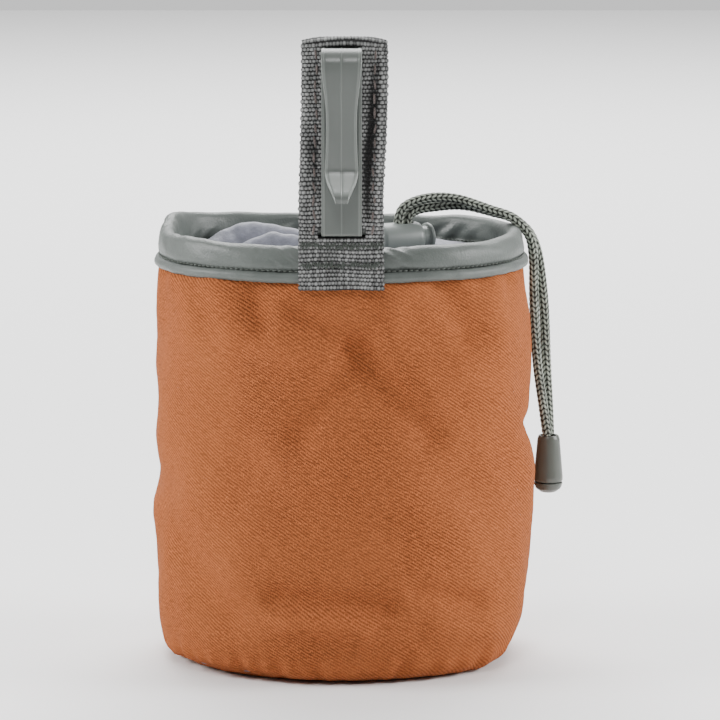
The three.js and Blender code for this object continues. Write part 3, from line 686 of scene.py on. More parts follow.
def make_world(scene):
    """A white studio whose wall behind the camera is darker than its sides and back."""
    world = bpy.data.worlds.new("studio")
    world.use_nodes = True
    tree = world.node_tree
    background = tree.nodes["Background"]
    background.inputs["Color"].default_value = (1, 1, 1, 1)
    direction = tree.nodes.new("ShaderNodeTexCoord")
    parts = tree.nodes.new("ShaderNodeSeparateXYZ")
    level = tree.nodes.new("ShaderNodeMapRange")
    level.interpolation_type = "SMOOTHSTEP"
    level.inputs["From Min"].default_value = -1.0
    level.inputs["From Max"].default_value = 0.5
    level.inputs["To Min"].default_value = 0.05
    level.inputs["To Max"].default_value = 0.85
    tree.links.new(direction.outputs["Generated"], parts.inputs["Vector"])
    tree.links.new(parts.outputs["Y"], level.inputs["Value"])
    tree.links.new(level.outputs["Result"], background.inputs["Strength"])
    scene.world = world


def add_light(name, place, target, size, power):
    """A square area light of `size` metres at `place`, turned to face `target`."""
    data = bpy.data.lights.new(name, "AREA")
    data.size = size
    data.energy = power
    light = bpy.data.objects.new(name, data)
    bpy.context.scene.collection.objects.link(light)
    place, target = np.array(place), np.array(target)
    x, y, z = place - target
    light.location = place
    light.rotation_euler = (math.atan2(math.hypot(x, y), z), 0, math.atan2(y, x) + math.pi / 2)


# ---------- drawcord ----------
LOCK_CENTRE = (19.4, 8.0, 129.6)
LOCK_TURN = math.radians(30)
LOCK_COS, LOCK_SIN = math.cos(LOCK_TURN), math.sin(LOCK_TURN)
STRAND_OFFSET = 1.6  # from the lock's middle to each strand, along the barrel
STRAND_A = (LOCK_CENTRE[0] - STRAND_OFFSET * LOCK_COS, LOCK_CENTRE[1] - STRAND_OFFSET * LOCK_SIN)
STRAND_B = (LOCK_CENTRE[0] + STRAND_OFFSET * LOCK_COS, LOCK_CENTRE[1] + STRAND_OFFSET * LOCK_SIN)
CORD_START_Z = 122.5
BELL_CENTRE = (65.0, 12.0)
STRAND_A_ROUTE = [
    (*STRAND_A, CORD_START_Z),
    (*STRAND_A, LOCK_CENTRE[2]),
    (*STRAND_A, 136.3),
    (19.6, 7.6, 139.4),
    (25.6, 8.6, 141.9),
    (35, 9.2, 142),
    (46.4, 8.2, 138.5),
    (53, 7.2, 136.2),
    (57.2, 6.8, 132.4),
    (58.6, 6.7, 130),
    (59.5, 6.4, 125),
    (59.8, 6.2, 112),
    (61, 7, 92),
    (63.2, 9.2, 76),
    (64.5, 10.5, 67.4),
]
STRAND_B_ROUTE = [
    (*STRAND_B, CORD_START_Z),
    (*STRAND_B, LOCK_CENTRE[2]),
    (*STRAND_B, 136.3),
    (23.2, 9.8, 138.2),
    (29.4, 11, 139.2),
    (38, 12.4, 139.4),
    (47.2, 12, 137.4),
    (53, 10.8, 135.8),
    (57.2, 10.2, 132.6),
    (59, 10.1, 130.2),
    (60.9, 9.8, 125.4),
    (62.8, 8.4, 112),
    (63.9, 9.6, 92),
    (64.9, 12.2, 76),
    (65.3, 13.4, 67.4),
]


def braid_lift(along, turn, columns, stitch, slant):
    """Height of a round braid, 0 to 1. Each column holds a chain of oval yarns `stitch` long.

    Yarns lean left in one column and right in the next, so that pairs of columns make a row of Vs.
    The height of a yarn is 1 less the square of its distance from the yarn's middle line.
    """
    column = turn / TAU * columns
    index = np.floor(column)
    across = column - index - 0.5
    lean = np.where(index % 2 < 1, 1.0, -1.0)
    phase = along / stitch + lean * across * slant
    step = phase - np.floor(phase) - 0.5
    oval = 1 - (across / 0.54) ** 2 - (step / 0.5) ** 2
    return np.clip(oval, 0, 1) ** 0.6


def make_cord(name, route, nodes, material):
    """One strand: a braided tube along its route."""
    diameter = cord_settings().diameter / MM
    path = smooth_path(route, 0.15)
    around = 40
    length = path_length(path)
    along = np.linspace(0, length, len(path))[:, None]
    turn = (np.arange(around) / around * TAU)[None, :] + along * 0
    lift = braid_lift(along, turn + along * 0.02, 8, 1.65, 0.75)
    radius = diameter / 2 * (0.86 + 0.2 * lift)
    mesh = surface(name, tube_points(path, radius, around), wrap_cols=True, caps=True)
    store(mesh, "lift", np.append(lift.ravel(), [0, 0]))
    cord = new_object(name, mesh)
    finish_piece(cord, None, material, nodes)
    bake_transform(cord)


def store(mesh, name, values):
    """One number for each point of a mesh, for its material to read."""
    layer = mesh.attributes.new(name, "FLOAT", "POINT")
    layer.data.foreach_set("value", np.asarray(values, np.float32))


def lathe(outline, around=64):
    """Rings of points turned about Z from [radius, z] pairs; the first and last may lie on the axis."""
    outline = np.asarray(outline, float)
    a = np.arange(around) * TAU / around
    x = outline[:, :1] * np.cos(a)
    y = outline[:, :1] * np.sin(a)
    return np.stack([x, y, np.repeat(outline[:, 1:], around, 1)], -1)


def rounded(outline, radius, steps=4):
    """The outline with each inner corner replaced by a quadratic curve that starts `radius` before it."""
    p = np.asarray(outline, float)
    out = [p[:1]]
    t = np.linspace(0, 1, steps + 1)[:, None]
    for before, corner, after in zip(p[:-2], p[1:-1], p[2:]):
        to_before, to_after = before - corner, after - corner
        reach = min(radius, 0.48 * np.linalg.norm(to_before), 0.48 * np.linalg.norm(to_after))
        start = corner + to_before / np.linalg.norm(to_before) * reach
        end = corner + to_after / np.linalg.norm(to_after) * reach
        out.append((1 - t) ** 2 * start + 2 * t * (1 - t) * corner + t**2 * end)
    out.append(p[-1:])
    return np.concatenate(out)


def make_cord_end():
    """The bell, its snapped-in cap and the knot between them, all turned about one axis."""
    settings = cord_settings()
    plastic = moulded_material("satin grey bell plastic", settings.bell, 0.33)
    foot = CAP_FOOT_Z
    x, y = BELL_CENTRE
    top = BELL_TOP_Z - foot
    bell_outline = rounded(
        [(3.1, 3.55), (4.45, 3.5), (4.62, 4.8), (4.45, 6.4), (3.5, top - 1.0), (3.05, top),
         (2.5, top), (2.4, top - 0.8), (2.4, top - 4.4), (3.1, top - 6.4), (3.1, 3.55)], 0.5,
    )
    bell = new_object("cord_end_bell_moulding", surface(
        "bell", lathe(bell_outline) + (x, y, foot), wrap_cols=True))
    finish_piece(bell, "cord_end", plastic, ["cord_end_bell"])
    cap_outline = rounded(
        [(0, 0), (2.3, 0.12), (3.9, 1.3), (4.45, 2.6), (4.5, 3.2), (4.2, 3.3), (2.8, 3.3),
         (2.8, 5.1), (0, 5.1)], 0.45,
    )
    cap = new_object("cord_end_cap_moulding", surface(
        "cap", lathe(cap_outline) + (x, y, foot), wrap_cols=True))
    finish_piece(cap, "cord_end", plastic, ["cord_end_cap"])
    for piece in (bell, cap):
        weld_and_turn_out(piece)
    knot_outline = rounded(
        [(0, 5.5), (2.3, 6.2), (2.75, 8), (2.2, 9.8), (2.0, 12), (2.0, 16.6), (0, 16.6)], 0.6,
    )
    points = lathe(knot_outline, 48)
    turn = np.arctan2(points[..., 1], points[..., 0])
    lift = braid_lift(points[..., 2], turn, 8, 2.0, 0.9)
    points[..., :2] *= (0.9 + 0.1 * lift)[..., None]
    mesh = surface("knot", points + (x, y, foot), wrap_cols=True)
    store(mesh, "lift", lift.ravel())
    knot = new_object("drawcord_knot", mesh)
    dark, light = (*settings.dark, 1), (*settings.light, 1)
    braid = yarn_material("knotted braid", dark, light)
    finish_piece(knot, "cord_end", braid, ["drawcord_end_knot"])
    weld_and_turn_out(knot)
    return [bell, cap, knot]


def weld_and_turn_out(obj):
    """Merges points that coincide, such as those at a pole, and turns every face outward."""
    work = bmesh.new()
    work.from_mesh(obj.data)
    bmesh.ops.remove_doubles(work, verts=work.verts, dist=1e-7)
    bmesh.ops.recalc_face_normals(work, faces=work.faces)
    work.to_mesh(obj.data)
    work.free()


# ---------- bag ----------
BAG_ROWS, BAG_COLUMNS = 132, 288
SEAM_LIFT = 1.3  # height of the base seam over the floor
SIDE_TOP_Z = 123.6


def smoothstep(value, low, high):
    """0 up to low, 1 from high on, and 3t squared less 2t cubed at the share t between."""
    t = np.clip((value - low) / (high - low), 0, 1)
    return t * t * (3 - 2 * t)


def gather(arc, seed, shortest, longest, count=5):
    """Noise along a seam only: a sum of sines of the arc length."""
    rng = np.random.default_rng(seed)
    out = np.zeros(arc.shape)
    for _ in range(count):
        length = rng.uniform(shortest, longest)
        out += np.sin(arc * TAU / length + rng.uniform(0, TAU))
    return out / math.sqrt(count)


def bell_curve(value, centre, width):
    """1 at the centre, falling as e to the minus square of the distance in widths."""
    return np.exp(-(((value - centre) / width) ** 2))


FRONT_FOLDS = (
    # height in millimetres, start and end as (x, z), width
    (2.2, (-24, 106), (-3, 101), 7),
    (2.6, (16, 99), (46, 89), 8),
    (-3.4, (5, 104), (27, 77), 5),
    (-2.6, (4, 103), (-13, 77), 5),
    (-1.8, (9, 96), (9, 84), 8),
    (-2.4, (-27, 122), (-23, 110), 3.6),
    (2.0, (-36, 121), (-33, 106), 5),
    (1.6, (-46, 119), (-44, 104), 5),
    (-1.9, (-13, 114), (-2, 109), 3.6),
    (-2.2, (31, 121), (38, 107), 4.5),
    (1.5, (45, 118), (49, 104), 5),
    (1.2, (17, 120), (15, 110), 4),
    (-2.6, (-19, 28), (14, 25), 3.8),
    (2.0, (-16, 19.5), (6, 18), 3.6),
    (-1.8, (24, 29), (41, 24), 3.6),
    (1.6, (29, 18), (45, 15), 4),
    (1.3, (-46, 62), (-30, 34), 8),
    (-1.4, (-50, 42), (-34, 20), 5.5),
    (1.3, (2, 66), (32, 50), 8),
    (-1.1, (-30, 72), (-12, 50), 7),
    (-1.0, (34, 62), (50, 44), 6),
)


def wall_folds(points, arc):
    """How far the cloth stands off the plain wall: named folds, side dents, soft noise and gathers."""
    settings = bag_settings()
    x, y, z = points[..., 0], points[..., 1], points[..., 2]
    front = smoothstep(-y, 2, 24)
    out = sum(h * crease(x, z, a, b, w) for h, a, b, w in FRONT_FOLDS) * front
    side = bell_curve(y, -2, 20)
    right, left = side * (x > 0), side * (x < 0)
    right_dents = -2.2 * bell_curve(z, 73, 4.0) + 0.5 * bell_curve(z, 60, 5) - 3.4 * bell_curve(z, 0, 16)
    left_dents = -1.9 * bell_curve(z, 58, 10) + 0.8 * bell_curve(z, 47, 4) + 0.9 * bell_curve(z, 112, 12)
    out += right * right_dents
    out += left * left_dents
    body = smoothstep(z, 4, 22) * smoothstep(SIDE_TOP_Z - z, 2, 20)
    out += body * settings.fold_depth * 0.75 * waves(points, 11, 9, 34, 80)
    out += body * settings.fold_depth * 0.3 * waves(points * (1, 1, 0.7), 12, 10, 12, 26)
    out += body * 0.05 * waves(points, 13, 10, 4, 8)
    out += settings.pucker * gather(arc, 21, 6, 17) * np.exp(-(SIDE_TOP_Z - z) / 5.0)
    out += settings.pucker * 1.15 * gather(arc, 22, 6, 15) * bell_curve(z, 4.2, 4.5)
    return out


def ring_seam_z(angle):
    """Height of the base seam: lowest at the front middle, a little higher at the front left."""
    raised = 2.8 * bell_curve(np.mod(angle, TAU), 3.75, 0.42)
    uneven = 0.5 * np.sin(3 * angle + 1) + 0.35 * np.sin(9 * angle + 2 * np.sin(2 * angle))
    return SEAM_LIFT + raised + uneven


def foot_lumps(angle):
    """How far the gathered cloth swells out at the base seam: two sines, never inwards."""
    slow = np.sin(7 * angle + 1.3 * np.sin(3 * angle))
    quick = np.sin(19 * angle + 2.0 * np.sin(5 * angle))
    return 0.75 + 0.5 * slow + 0.25 * quick


def make_bag_side(material):
    """The twill tube: rows of the outline from the base seam to under the piping, plus its folds."""
    angle, girth = even_angles(BAG_COLUMNS)
    rise = np.linspace(0, 1, BAG_ROWS)[:, None] ** 1.08
    foot = ring_seam_z(angle)[None, :]
    z = foot + (SIDE_TOP_Z - foot) * rise
    angle = np.broadcast_to(angle, z.shape)
    arc = np.broadcast_to(np.arange(BAG_COLUMNS) * girth / BAG_COLUMNS, z.shape)
    plain = wall_point(angle, z)
    out = wall_folds(plain, arc)
    # the cloth turns in to each seam over its last millimetres
    out -= 0.9 * np.exp(-(z - foot) / 1.1) + 1.2 * np.exp(-(SIDE_TOP_Z - z) / 0.9)
    out += foot_lumps(angle) * np.exp(-(z - foot) / 8)
    # the closing seam stands at the back: a groove between two low ridges of allowance
    seam = np.minimum(arc, girth - arc)
    out += 0.35 * bell_curve(seam, 4.2, 3.2) - 0.9 * bell_curve(seam, 0, 0.9)
    points = wall_point(angle, z, out)
    mesh = surface("bag_side", points, wrap_cols=True, uv=cloth_uv(arc, z, girth))
    worn = bell_curve(z, 5.5, 3.0) * 0.8 + smoothstep(out, 1.2, 3.4) * 0.5
    store(mesh, "worn", worn.ravel())
    bag = new_object("bag_side_twill", mesh)
    add_thickness(bag, 0.7)
    return finish_piece(bag, "bag", material, ["outer_side_panel"])


def cloth_uv(arc, z, girth):
    """Cloth coordinates in millimetres: distance round the wall, and height."""
    u = np.concatenate([arc, np.full((arc.shape[0], 1), girth)], 1)
    v = np.concatenate([z, z[:, :1]], 1)
    return np.stack([u, v], -1)


def add_thickness(obj, millimetres, offset=-1.0):
    """Gives a sheet a wall: all of it behind the faces at offset -1, in front of them at 1."""
    solidify = obj.modifiers.new("thickness", "SOLIDIFY")
    solidify.thickness = millimetres * MM
    solidify.offset = offset
    solidify.use_even_offset = False
    return solidify


def make_bag_base(material):
    """The oval base: flat on the floor, its edge rolled up to the seam with gathers."""
    angle, girth = even_angles(BAG_COLUMNS)
    shares = np.concatenate([np.linspace(0.02, 0.9, 22), np.linspace(0.92, 1, 9)])[:, None]
    seam = ring_seam_z(angle)[None, :]
    arc = (np.arange(BAG_COLUMNS) * girth / BAG_COLUMNS)[None, :]
    lift = smoothstep(shares, 0.93, 1.0)
    z = lift * (seam - 0.15)
    z = z + 0.25 * lift * (1 - lift) * 4 * gather(arc, 31, 5, 11)
    reach = 1 - 1.0 / 52 * (1 - lift)
    side_foot = wall_point(angle[None, :], seam)
    swell = wall_folds(side_foot, arc) + foot_lumps(angle)[None, :] - 0.25
    height = 0.6 * (1 - lift) + lift * seam
    rim = wall_point(np.broadcast_to(angle, z.shape), height + 0 * z, swell * lift - 0.9)
    points = np.stack([rim[..., 0] * shares * reach, rim[..., 1] * shares * reach, z], -1)
    rows = points[::-1]
    uv = np.stack([rows[..., 0], rows[..., 1]], -1)
    uv = np.concatenate([uv, uv[:, :1]], 1)
    mesh = surface("bag_base", rows, wrap_cols=True, uv=uv)
    close_pole(mesh, BAG_COLUMNS, faces_up=False)
    store(mesh, "worn", np.append(np.broadcast_to(0.2 + 0.8 * lift, z.shape)[::-1].ravel(), [0.2]))
    base = new_object("bag_base_twill", mesh)
    add_thickness(base, 0.6)
    return finish_piece(base, "bag", material, ["outer_base_panel"])


def close_pole(mesh, columns, faces_up):
    """Fills the last ring of a disc with a fan to its middle, and turns all faces up or all down."""
    work = bmesh.new()
    work.from_mesh(mesh)
    work.verts.ensure_lookup_table()
    ring = work.verts[len(work.verts) - columns :]
    middle = sum((v.co for v in ring), ring[0].co * 0) / columns
    pole = work.verts.new(middle)
    for a, b in zip(ring, ring[1:] + ring[:1]):
        face = work.faces.new((a, b, pole))
        face.smooth = True
    bmesh.ops.recalc_face_normals(work, faces=work.faces)
    if (face.normal.z > 0) != faces_up:
        bmesh.ops.reverse_faces(work, faces=work.faces)
    work.to_mesh(mesh)
    work.free()


# ---------- lining and cuff ----------
def make_lining(material):
    """The inner tube, just inside the twill with its own slack folds, and its floor."""
    columns, rows = 160, 60
    angle, girth = even_angles(columns)
    foot = np.maximum(2.2, ring_seam_z(angle)[None, :] + 1.4)
    z = foot + (123.0 - foot) * np.linspace(0, 1, rows)[:, None]
    angle = np.broadcast_to(angle, z.shape)
    arc = np.broadcast_to(np.arange(columns) * girth / columns, z.shape)
    plain = wall_point(angle, z)
    lean = 2.2 * smoothstep(z, 112, 122)
    out = np.minimum(wall_folds(plain, arc), 0.6) - 2.3 - lean
    out -= 0.7 * (1 + waves(plain, 41, 8, 16, 45)) * smoothstep(z, 4, 20)
    mesh = surface("lining", wall_point(angle, z, out)[:, ::-1], wrap_cols=True, uv=cloth_uv(arc, z, girth))
    side = new_object("lining_side_nylon", mesh)
    add_thickness(side, 0.3)
    finish_piece(side, "bag", material, ["lining_side_panel"])
    shares = np.linspace(0.02, 1, 24)[:, None]
    rim = wall_point(np.broadcast_to(angle[0], (24, columns)), np.full((24, columns), 3.0), -2.6)
    height = 2.0 + 0.5 * waves(rim * shares[..., None], 42, 6, 14, 40) * (1 - shares**4) + 0.5
    points = np.stack([rim[..., 0] * shares, rim[..., 1] * shares, height], -1)[::-1]
    uv = np.concatenate([points[..., :2], points[:, :1, :2]], 1)
    mesh = surface("lining_floor", points, wrap_cols=True, uv=uv)
    close_pole(mesh, columns, faces_up=True)
    floor = new_object("lining_base_nylon", mesh)
    add_thickness(floor, 0.3)
    finish_piece(floor, "bag", material, ["lining_base_panel"])


HEM_CENTRE = (-10.0, 3.0)
HEM_HALF = (27.0, 16.0)
HEM_Z = 117.5
CUFF_EDGE_Z = 123.6
CUFF_FLAT = (290.0, 35.0)  # the strip's cut size: round the rim, and from the rim to the hem
CUFF_DOMES = (
    # height, centre x, centre y, half width, half depth
    (9.8, -25.0, 25.0, 23.0, 8.5),
    (13.6, -17.0, -21.5, 20.0, 7.5),
    (4.5, 22.0, 25.0, 26.0, 9.0),
    (5.0, 32.0, -20.0, 18.0, 9.0),
)


def make_cuff(material):
    """The gathered cuff: from the rim's facing in to the hem, in radial pleats, with slack domes."""
    columns, rows = 320, 46
    angle = np.arange(columns) / columns * TAU
    share = np.linspace(1, 0, rows)[:, None]
    rim = wall_point(angle, np.full(columns, CUFF_EDGE_Z + 1.4), -(RIM_THICKNESS + 0.4))
    c, s = np.cos(angle), np.sin(angle)
    hem_x = HEM_CENTRE[0] + HEM_HALF[0] * c
    hem_y = HEM_CENTRE[1] + HEM_HALF[1] * s
    hem = np.stack([hem_x, hem_y, 0 * c + HEM_Z + 2.1], -1)
    points = share[..., None] * rim + (1 - share[..., None]) * hem
    x, y = points[..., 0], points[..., 1]
    slack = np.sin(math.pi * share) ** 0.8
    for height, cx, cy, rx, ry in CUFF_DOMES:
        points[..., 2] += height * np.exp(-(((x - cx) / rx) ** 2) - ((y - cy) / ry) ** 2) * slack
    turn = np.broadcast_to(angle, x.shape) * 44
    pleat = gather(turn, 51, 5, 13, 6)
    points[..., 2] += (0.2 + 0.35 * slack) * pleat * (0.15 + 0.85 * (1 - share) ** 2)
    points[..., 2] += 0.3 * slack * waves(points, 52, 8, 7, 22)
    points[..., 2] = np.minimum(points[..., 2], lock_trough(x, y))
    points = np.concatenate([points, hem_roll(hem, turn[:1], c, s)])
    girth, depth = CUFF_FLAT
    arc = np.broadcast_to(angle / TAU * girth, points.shape[:2])
    # the weave is stretched a little: it is drawn over 42 mm of depth
    down = np.linspace(0, 42, len(points))[:, None] + 0 * arc
    mesh = surface("cuff", points[::-1], wrap_cols=True, uv=cloth_uv(arc, down, girth))
    cuff = new_object("drawstring_cuff_nylon", mesh)
    add_thickness(cuff, 0.35)
    finish_piece(cuff, "bag", material, ["drawstring_cuff"])


def lock_trough(x, y):
    """Height limit of the cloth under the cord lock, with room to slide down.

    It rises as the square of the distance from the barrel's axis, and faster past its ends.
    """
    away_x, away_y = x - LOCK_CENTRE[0], y - LOCK_CENTRE[1]
    along_axis = away_x * LOCK_COS + away_y * LOCK_SIN
    off_axis = away_y * LOCK_COS - away_x * LOCK_SIN
    past_end = np.clip(np.abs(along_axis) - 10.5, 0, None)
    return 120.2 + 0.1 * (off_axis**2 + 2 * past_end**2)


def hem_roll(hem, turn, c, s):
    """The hem curled under round the drawcord: an arc of 1.45 half turns about the hem's line."""
    curl = np.linspace(0, 1.45 * math.pi, 12)[1:, None]
    radius = 2.25 + 0.12 * gather(turn, 53, 2.5, 5, 4)
    outward = np.stack([c / HEM_HALF[0], s / HEM_HALF[1]], -1)
    outward /= np.linalg.norm(outward, axis=1, keepdims=True)
    roll = np.empty((len(curl), len(hem), 3))
    roll[..., :2] = hem[None, :, :2] - (np.sin(curl) * radius)[..., None] * outward[None]
    roll[..., 2] = HEM_Z + np.cos(curl) * radius
    return roll


# ---------- rim ----------
RIM_COLUMNS = 420


def rim_profile():
    """The binding's section as (outward, z): a padded outer face, a round top and the inner facing."""
    outer = [(-0.55, 125.9), (0.1, 126.5), (0.45, 127.8), (0.5, 129.6), (0.15, 131.4)]
    top = [(-0.6, 132.7), (-1.7, 133.35), (-2.6, 133.5), (-3.6, 133.2), (-4.5, 132.3)]
    inner = [(-4.9, 130.8), (-5.05, 128.6), (-5.0, 126.6), (-5.1, 125.4), (-4.9, 124.9), (-4.3, 124.8)]
    profile = np.array([(o, 0.0, z) for o, z in outer + top + inner])
    fine = smooth_path(profile, 0.42)
    return fine[:, 0], fine[:, 2]


def rim_creases(angle, along, arc):
    """Soft wrinkles of the binding: drag lines on both faces, tight folds at the turned left end."""
    line = np.stack([arc * 0.55 + along * 0.9, along * 1.6, 0 * arc], -1)
    out = 0.22 * waves(line, 61, 9, 5, 16)
    turned = bell_curve(np.mod(angle, TAU), math.pi + 0.12, 0.42)
    out += 0.34 * turned * gather(arc + along * 0.9, 62, 5.0, 11.0, 4) * bell_curve(along, 9.5, 4.5)
    inside = smoothstep(along, 12.5, 15)
    back = bell_curve(np.mod(angle, TAU), math.pi / 2, 1.0)
    out += 0.55 * inside * back * gather(arc - along * 1.1, 63, 5, 13, 5)
    strap_side = bell_curve(arc, arc.max() * 0.5 + 16, 5) + bell_curve(arc, arc.max() * 0.5 - 16, 5)
    out += 0.3 * strap_side * gather(arc + along * 1.4, 64, 2.6, 5.5, 4) * smoothstep(along, 0, 5)
    return out


def make_rim_binding(material):
    """The folded leatherette: its section carried round the outline, creased along its normal."""
    angle, girth = even_angles(RIM_COLUMNS, 130.0)
    outward, z = rim_profile()
    along = np.linspace(0, 1, len(z)) * np.hypot(np.diff(outward), np.diff(z)).sum()
    arc = np.arange(RIM_COLUMNS) * girth / RIM_COLUMNS
    along, arc = np.meshgrid(along, arc, indexing="ij")
    turn = np.broadcast_to(angle, along.shape)
    d_out, d_z = np.gradient(outward), np.gradient(z)
    size = np.hypot(d_out, d_z)
    normal_out, normal_z = (d_z / size)[:, None], (-d_out / size)[:, None]
    push = rim_creases(turn, along, arc)
    # stitches pull the foot of the outer face and the foot of the facing
    push -= 0.22 * bell_curve(along, 0.9, 0.7) + 0.25 * bell_curve(along, along.max() - 2.2, 0.7)
    beside_stitches = bell_curve(along, 1.4, 1.0) + bell_curve(along, along.max() - 2.9, 0.9)
    push += 0.1 * np.cos(arc * TAU / STITCH_PITCH) * beside_stitches
    out = outward[:, None] + push * normal_out
    height = z[:, None] + push * normal_z * 0.8
    top = smoothstep(height, 130, 133)
    height = height + top * (0.35 * np.sin(turn * 2 + 0.6) + 0.18 * gather(arc, 65, 18, 44, 4))
    around = np.mod(turn, TAU)
    back_left = 3.0 * bell_curve(around, 2.86, 0.26) + 1.9 * bell_curve(around, 2.42, 0.3)
    height = height + top * (back_left + 0.7 * bell_curve(around, 1.95, 0.35))
    out = out + top * 0.8 * bell_curve(around, 2.6, 0.3)
    mesh = surface("rim", wall_point(turn, height, out), wrap_cols=True, uv=cloth_uv(arc, along, girth))
    rim = new_object("rim_binding_leatherette", mesh)
    add_thickness(rim, 0.7)
    return finish_piece(rim, "bag", material, ["rim_binding"])


def make_piping(material):
    """The piping: a round bead on the seam, faintly dented where the stitches hold it."""
    angle, girth = even_angles(RIM_COLUMNS, PIPING_Z)
    arc = np.arange(RIM_COLUMNS) * girth / RIM_COLUMNS
    turn = np.linspace(0, TAU, 25)[:-1]
    a, arc = np.meshgrid(turn, arc, indexing="ij")
    dents = 0.03 * np.cos(arc * TAU / STITCH_PITCH) * bell_curve(a, 1.2, 0.8)
    radius = PIPING_RADIUS + 0.05 * gather(arc, 71, 4, 13, 5) + dents
    out = 0.05 + radius * np.cos(a)
    z = PIPING_Z + 0.125 * gather(arc, 72, 22, 60, 3) + radius * np.sin(a)
    points = wall_point(np.broadcast_to(angle, a.shape), z, out)
    v = np.broadcast_to(turn[:, None] * PIPING_RADIUS, a.shape)
    uv = cloth_uv(arc, v, girth)
    uv = np.concatenate([uv, uv[:1] + (0, PIPING_RADIUS * TAU)], 0)
    mesh = surface("piping", points[:, ::-1], wrap_rows=True, wrap_cols=True, uv=uv)
    piping = new_object("rim_piping_leatherette", mesh)
    weld_and_turn_out(piping)
    finish_piece(piping, "bag", material, ["rim_piping_cover"])


def stitch_row(name, starts, ends, rise, radius, thread, body, sides=6):
    """Stitches as small bent threads: each dips into the cloth at both ends and stands `rise` off it."""
    t = np.linspace(0, 1, 7)
    bow = np.sin(math.pi * t)
    starts, ends, rise = (np.asarray(a, float) for a in (starts, ends, rise))
    centre = starts[:, None] + (ends - starts)[:, None] * t[None, :, None]
    centre = centre + rise[:, None] * (bow[None, :, None] - 0.35)
    along = (ends - starts) / np.linalg.norm(ends - starts, axis=1, keepdims=True)
    up = rise / np.linalg.norm(rise, axis=1, keepdims=True)
    side = np.cross(along, up)
    a = np.arange(sides) * TAU / sides
    width = radius * (0.35 + 0.65 * bow) ** 0.5
    c, s = np.cos(a)[None, None, :, None], np.sin(a)[None, None, :, None]
    ring = c * side[:, None, None] + s * up[:, None, None]
    points = centre[:, :, None] + ring * width[None, :, None, None]
    count, rings = len(starts), len(t)
    faces, flat = quads(rings, sides, wrap_cols=True)
    per = rings * sides
    grid = np.stack(np.meshgrid(t * 2.0, np.linspace(0, 1, sides + 1), indexing="ij"), -1)
    grid = np.concatenate([grid, grid[:1]])
    uv = np.tile(grid.reshape(-1, 2)[flat.ravel()], (count, 1))
    all_quads = (faces[None] + per * np.arange(count)[:, None, None]).reshape(-1, 4)
    fan = np.array([(0, i, i + 1) for i in range(1, sides - 1)])
    last = (rings - 1) * sides
    caps = np.concatenate([fan[:, ::-1], fan + last])
    all_caps = (caps[None] + per * np.arange(count)[:, None, None]).reshape(-1, 3)
    uv = np.concatenate([uv, np.zeros((all_caps.size, 2))])
    row = new_object(name, mesh_from(name, points, [all_quads, all_caps], uv))
    weld_and_turn_out(row)
    return finish_piece(row, body, thread)


def make_rim_stitches(thread):
    """One row in the groove over the piping and one along the foot of the facing."""
    for name, z, outward, inside in (
        ("rim_stitches_outside", 126.3, 0.22, False),
        ("rim_stitches_inside", 126.0, -5.25, True),
    ):
        _, girth = even_angles(8, z)
        count = int(girth / STITCH_PITCH)
        angle, girth = even_angles(count * 4, z)
        start = wall_point(angle[0::4], np.full(count, z), outward)
        end = wall_point(angle[3::4], np.full(count, z + 0.12), outward)
        away = wall_point(angle[1::4], np.full(count, z), outward + (-1 if inside else 1))
        here = wall_point(angle[1::4], np.full(count, z), outward)
        stitch_row(name, start, end, (away - here) * 0.3, 0.21, thread, "bag")


# ---------- cord lock ----------
SLOT_HALF = 3.35
PRESS_TRAVEL = 2.5
SLOT_WIDTH = 3.7


def along_lock(points):
    """Points turned about Z, stood on their axis along the lock's barrel instead."""
    points = np.asarray(points)
    across, up, along = points[..., 0], points[..., 1], points[..., 2]
    x = along * LOCK_COS - across * LOCK_SIN
    y = along * LOCK_SIN + across * LOCK_COS
    return np.stack([x, y, up], -1) + LOCK_CENTRE


def slot_cutter(travel):
    """An upright prism the size of the lock's cord hole, longer by `travel` on the open side."""
    a = np.arange(32) * TAU / 32
    c, s = np.cos(a), np.sin(a)
    across = SLOT_WIDTH / 2 * np.sign(s) * np.abs(s) ** 0.7
    along = (SLOT_HALF + travel / 2) * np.sign(c) * np.abs(c) ** 0.5 + travel / 2
    rows = [np.stack([across, np.full(32, z), along], -1) for z in (-9.0, 9.0)]
    mesh = surface("slot", along_lock(np.array(rows)), wrap_cols=True, caps=True)
    cutter = new_object("slot_cutter", mesh)
    weld_and_turn_out(cutter)
    return cutter


def cut(obj, cutter):
    """Takes the cutter's shape out of the piece for good."""
    hole = obj.modifiers.new("hole", "BOOLEAN")
    hole.operation, hole.solver, hole.object = "DIFFERENCE", "EXACT", cutter
    bpy.context.view_layer.update()
    graph = bpy.context.evaluated_depsgraph_get()
    mesh = bpy.data.meshes.new_from_object(obj.evaluated_get(graph))
    obj.modifiers.clear()
    obj.data = mesh


def soften(obj, millimetres, degrees=38):
    """Sharp edges marked by angle, then rounded by a small bevel."""
    obj.data.set_sharp_from_angle(angle=math.radians(degrees))
    bevel = obj.modifiers.new("rounded edges", "BEVEL")
    bevel.width = millimetres * MM
    bevel.segments = 2
    bevel.limit_method = "ANGLE"
    bevel.angle_limit = math.radians(degrees)
    bevel.harden_normals = False


